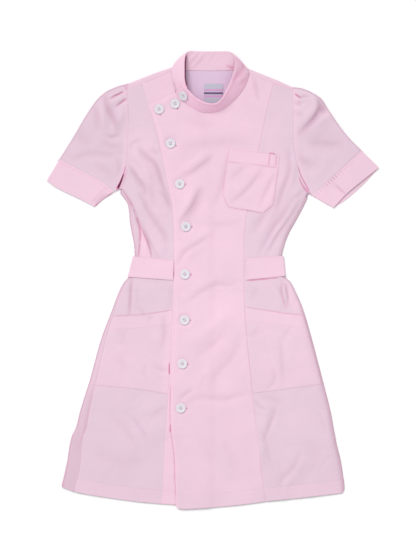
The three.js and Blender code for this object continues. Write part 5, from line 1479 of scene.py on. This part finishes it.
def tube(start, end, lower_end, inner, outer, t, half, height):
    """Ring grid of a tube: upper layer, outer fold, lower layer and inner fold, for each row"""
    inset = FOLD_REACH + half

    def layer(far, shares):
        t2, s2 = t[:, None, None], shares[None, :, None]
        near_corners, far_corners = (line(np.array([0.0, 1.0]))[:, None, None] for line in (start, far))
        corners = (near_corners[0] * (1 - s2) + near_corners[1] * s2) * (1 - t2)
        corners = corners + (far_corners[0] * (1 - s2) + far_corners[1] * s2) * t2
        plan = start(shares)[None] * (1 - t2) + far(shares)[None] * t2
        plan = plan + inner(t)[:, None] * (1 - s2) + outer(t)[:, None] * s2 - corners
        ahead, behind = unit(plan[:, -1] - plan[:, -4]), unit(plan[:, 0] - plan[:, 3])
        plan = plan - inset * ahead[:, None] * smoothstep(shares, 0.8, 1)[None, :, None]
        return plan - inset * behind[:, None] * fading(shares, 0, 0.2)[None, :, None], ahead, behind

    top, _, _ = layer(end, UPPER_SHARES)
    under, ahead, behind = layer(lower_end, LOWER_SHARES)
    top, under = with_height(top, height(*xy(top))), with_height(under, half)
    outer_fold = fold_columns(under[:, -1], top[:, -1], ahead, FOLD_REACH, ARC_CELLS)[:, ::-1]
    inner_fold = fold_columns(under[:, 0], top[:, 0], behind, FOLD_REACH, ARC_CELLS)
    return np.concatenate([top, outer_fold, under[:, ::-1], inner_fold], axis=1)


def hidden_rows(row, way, reaches, narrowing=0.0):
    """Rows past a tube's end, inside the neighbour, with the layers closer together"""
    centre_z = (row[:, 2].max() + row[:, 2].min()) / 2
    rows = []
    for reach in reaches:
        hidden = row.copy()
        hidden[:, :2] += np.array(way) * reach
        middle = hidden[:, :2].mean(0)
        hidden[:, :2] = middle + (hidden[:, :2] - middle) * (1 - narrowing * reach)
        hidden[:, 2] = centre_z + (hidden[:, 2] - centre_z) * HIDDEN_THICKNESS
        rows.append(hidden)
    return np.stack(rows)


def add_sleeve(side):
    plan = SLEEVES[side]
    top_y = plan["outer"][0][1]

    def armhole_line(share):
        y = ARMPIT_Y[side] + (top_y - ARMPIT_Y[side]) * share
        place = np.stack([armhole[side](y) + SIGN[side] * HALF_GAP, y], axis=1)
        place[share <= 0], place[share >= 1] = plan["inner"][0], plan["outer"][0]
        return place

    seam, half = path(plan["seam"]), SINGLE / 2
    grid = tube(
        armhole_line, seam, seam, path(plan["inner"]), path(plan["outer"]), SLEEVE_ROWS, half,
        lambda x, y: front(x, y) + MIDDLE,
    )
    away = np.linalg.norm(grid[..., :2] - grid[:1, :, :2], axis=2)
    grid[:, :UPPER, 2] += (valley(away) + pucker(grid[..., 1], away, 27))[:, :UPPER]
    tuck = hidden_rows(grid[0], (-SIGN[side], 0.0), (8.0, 4.0, 0.8), narrowing=0.012)
    end = hidden_rows(grid[-1], (SIGN[side] * 0.8, -0.6), (0.5, 2.0, 5.0))
    away = np.concatenate([np.zeros(tuck.shape[:2]), away, np.full(end.shape[:2], FAR)])
    grid = np.concatenate([tuck, grid, end])
    deep = cavity(*xy(grid))
    # Painted shade along the sleeve's outer fold
    deep[:, UPPER - 2:UPPER + ARC_CELLS] = SLEEVE_FOLD_SHADE
    add_cloth(
        f"sleeve_{side}", "cloth_single", grid, half, ring=True,
        ply=SLEEVE_PLY * fading(away, ALLOWANCE - BAND_FADE, ALLOWANCE + BAND_FADE),
        shade=along_routes(SHADED, *xy(grid)), deep=deep,
    )


def add_cuff(side):
    """The cuff, which starts a little past the sleeve's end, along its own outer edge"""
    plan = SLEEVES[side]
    seam, end, lower_end = (path(plan[name]) for name in ("seam", "end", "lower_end"))
    onward = unit(np.subtract(plan["cuff_outer"][1], plan["cuff_outer"][0])) * CUFF_ONWARD
    inner, outer = (
        path([np.add(plan[name][0], onward), *plan[name][1:]]) for name in ("cuff_inner", "cuff_outer")
    )
    half = DOUBLE / 2
    grid = tube(
        lambda share: seam(share) + onward, end, lower_end, inner, outer, CUFF_ROWS, half,
        lambda x, y: calm_front(y) + CUFF_RELIEF * relief(x, y) + MIDDLE + 0.1,
    )
    x, y = xy(grid)
    away = np.linalg.norm(grid[..., :2] - grid[:1, :, :2], axis=2)
    gathered = bell(x - CUFF_RIPPLES[0], CUFF_RIPPLES[1])
    run = (GATHERS["slope"][0] * x + GATHERS["slope"][1] * SIGN[side] * y) * GATHERS["pace"]
    ripple = pucker(run, np.abs(away - 3), 41) * (GATHERS["all_round"] + GATHERS["gathered"] * gathered)
    ripple += stitch_groove(away, CUFF_STITCH)
    grid[:, :UPPER, 2] += ripple[:, :UPPER]
    # Painted shade in the troughs of the gathers, strongest where they gather most
    trough_shade = np.clip(-ripple / GATHERS["deep_at"], 0, 1) * (0.25 + 0.75 * gathered)
    ply = CUFF_PLY["body"] + CUFF_PLY["seam"] * fading(away, *CUFF_PLY["seam_ends"])
    deep = np.maximum(cavity(x, y), trough_shade)
    add_cloth(f"cuff_{side}", "cloth_double", grid, half, ring=True, ply=ply, deep=deep)
    top = (grid + UP * half)[:, 2:UPPER - 2].transpose(1, 0, 2)
    add_stitches(f"cuff_{side}", np.array([
        sample(CUFF_STITCH, distances, column) for column, distances in zip(top, away[:, 2:UPPER - 2].T)
    ]))


for side in SIGN:
    add_sleeve(side)
    add_cuff(side)

# Collar
COLLAR_COLUMNS = 260
COLLAR_STITCH = 0.84
COLLAR_WRAPPED = (190, 200)


def collar_wrinkles(foot, v):
    """Slanting wrinkles of the band, as the stiffened cloth bends round the neck"""
    run = lengths_along(foot)[None]
    phase = run + 26 * v
    behind = smoothstep(foot[:, 1], 846, 872)
    fine = rumple(phase, v * 8 + phase * 0, 9, 51) + 0.6 * rumple(phase * 1.7, v * 14, 6, 52)
    corner = smoothstep(foot[:, 0], 44, 64) * smoothstep(foot[:, 1], 838, 852) * fading(foot[:, 1], 872, 878)
    folds = np.sin(9 * v + run / 11 + 1.2 * rumple(run, run * 0, 24, 53))
    return (0.25 + 0.75 * behind) * 0.95 * fine + 0.9 * corner * folds


def collar():
    """Grid and shade of the collar: the foot under its seam, the band, and the ply below its free edge"""
    stations = np.linspace(0, 1, COLLAR_COLUMNS)
    lines = (curve(COLLAR[:, part]) for part in (slice(0, 3), slice(3, 6)))
    foot, free = (sample(stations, np.linspace(0, 1, len(line)), line) for line in lines)
    bulge = np.interp(stations, np.linspace(0, 1, len(COLLAR)), COLLAR[:, 6])
    v = np.unique(np.concatenate([np.linspace(0, 1, 15), [0.02, 0.05, 0.95, 0.98]]))[:, None]
    out = unit(foot[:, :2] - np.array(COLLAR_CENTRE))
    grid = foot[None] * (1 - v)[..., None] + free[None] * v[..., None]
    crown = 4 * v * (1 - v)
    wrinkle = collar_wrinkles(foot, v)
    grid[..., :2] += out[None] * (crown * (bulge[None] + wrinkle))[..., None]
    grid[..., 2] += crown * wrinkle * (0.6 + 0.9 * smoothstep(foot[:, 1], 868, 876))
    below = grid[0].copy()
    below[:, :2] -= out * 0.9
    below[:, 2] = np.maximum(below[:, 2] - 1.9, 0.8)

    # The inner ply of the under end shows below the free edge, on the wearer's right
    under_end = smoothstep(np.arange(COLLAR_COLUMNS), *COLLAR_WRAPPED)
    seen = under_end * smoothstep(free[:, 1], 838, 846) * fading(free[:, 1], 900, 910)
    ply_rows = []
    for reach, drop in ((0.7 + 0.1 * seen, 1.7), (0.8 + 1.7 * seen, 3.2)):
        row = free.copy()
        row[:, :2] -= out * reach[:, None]
        row[:, 2] -= drop
        ply_rows.append(row)
    # Painted shade in the band's right corner and its wrinkle hollows, along its stitch line at the front,
    # and dark painted shadow on the inner ply that shows below the free edge
    corner = smoothstep(foot[:, 0], 40, 60) * smoothstep(free[:, 1], 836, 872) * fading(free[:, 1], 905, 911)
    hollows = np.clip(-wrinkle / 1.3, 0, 1)
    groove = fading(free[:, 1], 862, 880) * (1 - under_end)
    shade = corner * (0.07 + 0.12 * hollows + 0.05 * bell(v - COLLAR_STITCH, 0.1))
    shade += 0.08 * groove * bell(v - COLLAR_STITCH, 0.07)
    grid = np.concatenate([below[None], grid, np.stack(ply_rows)])
    return grid, np.concatenate([0 * seen[None], shade, 0.8 * seen[None], seen[None]])


collar_grid, collar_shade = collar()
x, y = xy(collar_grid)
# The collar's front takes the pinker tint, partly for its thick plies and partly as painted pink light
# reflected from the chest, and the collar's shade is painted
add_cloth(
    "collar", "cloth_double", collar_grid, COLLAR_PLIES / 2, collar_twill, ply=np.ones(x.shape),
    deep=(0.35 + 0.45 * smoothstep(x, -50, -20)) * fading(y, 830, 884),
    shade=np.maximum(collar_shade, along_routes(SHADED, x, y)),
)

# Belt strip round the waist, caught at the princess seams
BELT_TOP = FRONT_LOW + BELT_LIFT + CLOTH + 1.1
BELT_PLY = 0.96
BELT_CELLS = {"right": 34, "left": 30, "behind": 60, "fold": 10}


def belt():
    """Grid of the belt from its right end round the back to its left one, with the columns of each end"""
    half = BELT_PLIES / 2
    inset = BELT_FOLD_REACH + half
    v = np.concatenate([[0, 0.015, 0.04, 0.08], np.linspace(0.14, 0.86, 9), [0.92, 0.96, 0.985, 1]])

    def edge(side, end, shift=0.0):
        low, high = (np.array(point) for point in BELT[side][end])
        return low * (1 - v)[:, None] + high * v[:, None] + np.array([shift, 0])

    def run(first, last, z, cells):
        return with_height(between(first, last, np.linspace(0, 1, cells + 1)), z)

    inner_right, outer_right = edge("right", "inner"), edge("right", "outer", inset)
    outer_left, inner_left = edge("left", "outer", -inset), edge("left", "inner")
    ends = {
        "right": run(inner_right, outer_right, BELT_TOP, BELT_CELLS["right"]),
        "left": run(outer_left, inner_left, BELT_TOP, BELT_CELLS["left"]),
    }
    across = np.minimum(v, 1 - v) * np.linalg.norm(inner_right[-1] - inner_right[0])
    for end, seed in ((ends["right"], 71), (ends["left"], 72)):
        x, y = xy(end)
        end[..., 2] += 0.3 * rumple(x, y, 28, seed) + 0.15 * rumple(x, y, 12, seed + 4)
    folds = {
        side: fold_columns(
            with_height(centre, half), with_height(centre, BELT_TOP), np.tile([SIGN[side], 0.0], (len(v), 1)),
            BELT_FOLD_REACH, BELT_CELLS["fold"],
        )
        for side, centre in (("right", outer_right), ("left", outer_left))
    }
    for end in ends.values():
        end[..., 2] += stitch_groove(across, NARROW_STITCH)[:, None]
    grid = np.concatenate([
        ends["right"], folds["right"][:, ::-1], run(outer_right, outer_left, half, BELT_CELLS["behind"]),
        folds["left"], ends["left"],
    ], axis=1)
    return grid, v, ends["right"].shape[1], ends["left"].shape[1]


belt_grid, belt_v, right_count, left_count = belt()
plain = np.zeros(belt_grid.shape[:2])
add_cloth("belt", "cloth_double", belt_grid, BELT_PLIES / 2, ply=plain + BELT_PLY, deep=plain, shade=plain)
belt_top = belt_grid + UP * BELT_PLIES / 2
stitch_share = NARROW_STITCH / np.linalg.norm(belt_grid[-1, 0] - belt_grid[0, 0])
for row in (nearest(belt_v, stitch_share), nearest(belt_v, 1 - stitch_share)):
    add_stitches("belt", belt_top[row, 1:right_count - 1], belt_top[row, -left_count + 1:-1])
for column in (1, -2):
    add_stitches("belt", belt_top[1:-1, column])

# Breast pocket, with a slot for a pen beside its right edge
BREAST_ROWS = 44
BREAST_PLY = {"single": 0.85, "band": 0.2}
SLOT = {"ends": (18, 27), "rise": 1.0, "mouth_rise": 1.3, "mouth_reach": 7}
SLOT_STITCH = {"depth": 0.35, "width": 1.2}


def breast_pocket():
    stations = np.linspace(0, 1, len(BREAST_POCKET))
    u = np.unique(np.concatenate([np.linspace(0, 1, 38), [0.006, 0.014, 0.024, 0.976, 0.986, 0.994]]))
    edges = sample(np.unique(np.append(np.linspace(0, 1, BREAST_ROWS), stations[1])), stations, BREAST_POCKET)
    left, right = edges[:, :2], edges[:, 2:]
    plan = between(left, right, u)
    x, y = xy(plan)
    width = np.linalg.norm(right - left, axis=1)[:, None]
    from_bottom, from_top = (np.linalg.norm(plan - edge, axis=2) for edge in (plan[:1], plan[-1:]))
    from_sides = np.minimum.reduce([u[None] * width, (1 - u)[None] * width, from_bottom])
    z = front(x, y) + MIDDLE + DOUBLE / 2 + PATCH["clearance"]
    z += stitch_groove(from_sides, NARROW_STITCH) + stitch_groove(from_top, POCKET_BAND)
    z += 0.4 * np.exp(-from_top / 6) + 0.6 * pucker(y, from_sides, 43)
    in_slot = smoothstep(x, PEN_SLOT[0], PEN_SLOT[0] + 3) * fading(x, PEN_SLOT[1] - 4, PEN_SLOT[1])
    in_slot = in_slot * fading(from_top, *SLOT["ends"])
    z += in_slot * (SLOT["rise"] + SLOT["mouth_rise"] * np.exp(-from_top / SLOT["mouth_reach"]))
    z -= SLOT_STITCH["depth"] * bell(x - PEN_SLOT[0], SLOT_STITCH["width"]) * (from_top < POCKET_BAND)
    band = in_band(from_top, POCKET_BAND, fade=1)
    cloth = Cloth(with_height(plan, z), PATCH["half"] + PATCH["band_half"] * band)
    cloth.ply = BREAST_PLY["single"] + BREAST_PLY["band"] * band
    return cloth, from_top


pocket, from_top = breast_pocket()
add_cloth("pocket_breast", "cloth_double", pocket.grid, pocket.half, ply=pocket.ply)
surface = pocket.top()
round_pocket = np.concatenate([surface[1:, 3][::-1], surface[1, 3:-3], surface[1:, -4]])
across_pocket = line_at(surface.transpose(1, 0, 2), from_top.T, POCKET_BAND)
add_stitches("pocket_breast", round_pocket, across_pocket[2:-2])

# Label
LABEL_CELLS = 26
shares = np.stack(np.meshgrid(*2 * [np.linspace(0, 1, LABEL_CELLS)]), axis=-1)
label_plan = [LABEL["x"], LABEL["y"]] + (shares - 0.5) * [LABEL["width"], LABEL["height"]]
label_z = SINGLE + 0.25 + LABEL["thickness"] / 2 + 0.18 * rumple(*xy(label_plan), 16, 81)
add_cloth("label", "label", with_height(label_plan, label_z), LABEL["thickness"] / 2, woven)

# Buttons: a moulded disc with a raised rim and four holes, sewn on through the cloth
BUTTON_PROFILE = [
    (6.5, 0.15), (8.6, 0.3), (9.5, 0.8), (9.95, 1.4), (9.95, 1.8), (9.6, 2.3), (8.9, 2.6), (8.0, 2.65),
    (6.8, 2.5), (5.9, 2.25), (5.2, 2.1), (3.0, 2.05),
]
BUTTON_SIDES = 56
BUTTON_TURNS = [12, 20, 35, 5, 50, 25, 40, 15, 30, 55]
DISH_RADIUS = 5.5
HOLE_RADIUS = 0.95
HOLE_SPACING = 1.75
DRILL_LENGTH = 0.02
DRILL_SIDES = 20
STRANDS = (-0.32, 0, 0.32)
STRAND_STEPS = np.linspace(-1, 1, 9)
STRAND_HEIGHTS = 2.0 + 0.42 * (1 - STRAND_STEPS**4) - 2.4 * (np.abs(STRAND_STEPS) > 0.99)
STRAND_PROFILE = (0.9, 1, 1, 1, 1, 1, 1, 1, 0.9)


def button_mesh():
    """The turned disc with its holes cut through, on its own axis"""
    vertices = [(0, 0, BUTTON_PROFILE[0][1])]
    for radius, height in BUTTON_PROFILE:
        for angle in 2 * np.pi * np.arange(BUTTON_SIDES) / BUTTON_SIDES:
            vertices.append((radius * math.cos(angle), radius * math.sin(angle), height))
    last = len(vertices)
    vertices.append((0, 0, BUTTON_PROFILE[-1][1]))
    faces = []
    for low in range(1, last - BUTTON_SIDES, BUTTON_SIDES):
        high = low + BUTTON_SIDES
        for s in range(BUTTON_SIDES):
            after = (s + 1) % BUTTON_SIDES
            faces.append((low + s, low + after, high + after, high + s))
    for s in range(BUTTON_SIDES):
        after = (s + 1) % BUTTON_SIDES
        faces.append((0, 1 + after, 1 + s))
        faces.append((last, last - BUTTON_SIDES + s, last - BUTTON_SIDES + after))
    mesh = bpy.data.meshes.new("button_disc")
    mesh.from_pydata([tuple(part / MM for part in vertex) for vertex in vertices], [], faces)
    disc = put("button_disc", mesh)
    drills = []
    for sign_x in (-1, 1):
        for sign_y in (-1, 1):
            bpy.ops.mesh.primitive_cylinder_add(
                radius=HOLE_RADIUS / MM, depth=DRILL_LENGTH, vertices=DRILL_SIDES,
                location=(sign_x * HOLE_SPACING / MM, sign_y * HOLE_SPACING / MM, 0),
            )
            drills.append(bpy.context.object)
    for drill in drills:
        cut = disc.modifiers.new("hole", "BOOLEAN")
        cut.operation = "DIFFERENCE"
        cut.solver = "EXACT"
        cut.object = drill
    bpy.context.view_layer.update()
    result = bpy.data.meshes.new_from_object(disc.evaluated_get(bpy.context.evaluated_depsgraph_get()))
    for tool in (*drills, disc):
        bpy.data.objects.remove(tool)
    result.shade_smooth()
    for polygon in result.polygons:
        x, y, _ = polygon.center * MM
        in_hole = math.hypot(abs(x) - HOLE_SPACING, abs(y) - HOLE_SPACING) < HOLE_RADIUS + 0.01
        if in_hole or math.hypot(x, y) < DISH_RADIUS:
            polygon.use_smooth = False
    return result


def node_frame(node):
    """Centre of a flat round node's base, with its own axis and two directions across it"""
    points = np.array([v.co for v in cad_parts[node].data.vertices]) * MM
    centre = (points.min(0) + points.max(0)) / 2
    axes = np.linalg.svd(points - points.mean(0), full_matrices=False)[2]
    axis = axes[2] * np.sign(axes[2][2])
    along_x = unit(np.array([1.0, 0, 0]) - axis * axis[0])
    return centre + axis * ((points - centre) @ axis).min(), axis, along_x, np.cross(axis, along_x)


disc_mesh = button_mesh()
disc_points = np.array([v.co for v in disc_mesh.vertices]) * MM
strands = []
for k, turn in enumerate(np.radians(BUTTON_TURNS)):
    name = f"button_{k + 1:02d}"
    base, axis, along_x, along_y = node_frame(name)
    across_x = math.cos(turn) * along_x + math.sin(turn) * along_y
    across_y = math.cos(turn) * along_y - math.sin(turn) * along_x
    placed = base + disc_points @ np.array([across_x, across_y, axis])
    mesh = disc_mesh.copy()
    mesh.vertices.foreach_set("co", (placed / MM).astype(np.float32).ravel())
    mesh.update()
    finish_piece(put(f"{name}_disc", mesh), resin, name, "button")

    # Two pairs of holes, each with three strands of thread between them
    for sign in (-1, 1):
        for strand in STRANDS:
            middle = base - ORIGIN + across_y * (sign * HOLE_SPACING + strand)
            reach = STRAND_STEPS[:, None] * HOLE_SPACING * 0.98
            strands.append(middle + reach * across_x + STRAND_HEIGHTS[:, None] * axis)
finish_piece(sweep("button_threads", strands, 0.24, 6, STRAND_PROFILE), button_thread)

# Buttonholes: a slit between two rows of close stitches, with a bar at each end, and the end of the collar's,
# which shows beside its button
BUTTONHOLE = {"length": 22.0, "before": 9.5, "pitch": 0.62, "radius": 0.3}
HOLE_WAYS = {1: (0.43, -0.90), 2: (0.2, -0.98), 3: (0.9, -0.4)}
STRAIGHT_HOLE_WAY = (1.0, -0.04)
COLLAR_HOLE_WAY = (0.83, -0.56)
COLLAR_HOLE = (8.6, 12.6)
LOOP = ((0.15, -0.05), (0.8, 0.22), (1.5, -0.1))
BAR = ((-1.6, -0.1), (0, 0.3), (1.6, -0.1))


def stitches_across(centre, way, steps, shapes):
    """Stitches across a slit at steps along it, each of a shape given by reaches across it and heights"""
    across = np.array([-way[1], way[0]])
    return [
        [np.append(centre + way * step + across * reach, rise) for reach, rise in shape]
        for step in steps for shape in shapes
    ]


both_sides = ([(-reach, rise) for reach, rise in LOOP], LOOP)
start, end = -BUTTONHOLE["before"], BUTTONHOLE["length"] - BUTTONHOLE["before"]
hole_bars = []
for k, centre in enumerate(SKETCHED_BUTTONS[1:], start=1):
    way = unit(np.array(HOLE_WAYS.get(k, STRAIGHT_HOLE_WAY)))
    hole_bars += stitches_across(centre, way, np.arange(start, end, BUTTONHOLE["pitch"]), both_sides)
    hole_bars += stitches_across(centre, way, (start - 0.3, end + 0.1, end + 0.6), [BAR])
hole_bars = np.array(hole_bars)
x, y = xy(hole_bars)
hole_bars[..., 2] += front(x, y) + over_lap(x, y) + MIDDLE + DOUBLE / 2
collar_steps = np.arange(*COLLAR_HOLE, BUTTONHOLE["pitch"])
collar_way = np.array(COLLAR_HOLE_WAY)
collar_bars = np.array(stitches_across(SKETCHED_BUTTONS[0], collar_way, collar_steps, both_sides))
collar_places = collar_grid.reshape(-1, 3)
for bar in collar_bars:
    near_bar = np.hypot(*(collar_places[:, :2] - bar[1, :2]).T).argmin()
    bar[:, 2] += collar_places[near_bar, 2] + COLLAR_PLIES * 0.6
hole_bars = np.concatenate([hole_bars, collar_bars])
finish_piece(sweep("buttonhole_stitches", hole_bars, BUTTONHOLE["radius"], 5, (0.8, 1, 0.8)), hole_thread)

# Stitches of each piece, as one mesh
for name, groups in threads.items():
    lines = np.concatenate(groups)
    piece = sweep(f"stitches_{name}", lines, STITCH["radius"], STITCH["sides"], STITCH_PROFILE)
    finish_piece(piece, thread)

# Floor
FLOOR_SIZE = 6
FLOOR_Z = -0.0004
bpy.ops.mesh.primitive_plane_add(size=FLOOR_SIZE, location=(0, 0, FLOOR_Z))
floor = bpy.context.object
floor.name = "floor"
floor.data.materials.append(mottled_material("paper", 0.95, 30.0, 4.0, *PAPER_COLOURS))

# Light: an even pale room, a broad soft light from beyond the wearer's right shoulder, and a lamp overhead
ROOM_STRENGTH = 0.64
KEY = {"from": (-0.6, 0.9, 1.45), "energy": 1.45, "angle": 30}
OVERHEAD = {"height": 0.6, "size": 0.5, "energy": 0.42}
world = bpy.data.worlds.new("room")
world.use_nodes = True
background = world.node_tree.nodes["Background"]
background.inputs["Color"].default_value = (1, 1, 1, 1)
background.inputs["Strength"].default_value = ROOM_STRENGTH
bpy.context.scene.world = world
key_data = bpy.data.lights.new("key", "SUN")
key_data.energy = KEY["energy"]
key_data.angle = math.radians(KEY["angle"])
put("key", key_data).rotation_euler = Vector(KEY["from"]).to_track_quat("Z", "Y").to_euler()
lamp_data = bpy.data.lights.new("overhead", "AREA")
lamp_data.shape = "DISK"
lamp_data.size = OVERHEAD["size"]
lamp_data.energy = OVERHEAD["energy"]
overhead = put("overhead", lamp_data)
overhead.location = (0, 0, OVERHEAD["height"])
overhead.visible_camera = False

# Camera, straight above the middle of the photo's frame
FRAME_HEIGHT_MM = 1110
FRAME_CENTRE = (0, 461, 0)
CAMERA_HEIGHT = 6.0
SENSOR = 36.0
camera_data = bpy.data.cameras.new("camera")
camera_data.sensor_width = SENSOR
camera_data.lens = SENSOR * CAMERA_HEIGHT / (FRAME_HEIGHT_MM / MM)
camera = put("camera", camera_data)
camera.location = (*metres(FRAME_CENTRE)[:2], CAMERA_HEIGHT)
bpy.context.scene.camera = camera
bpy.context.scene.view_settings.view_transform = "Standard"
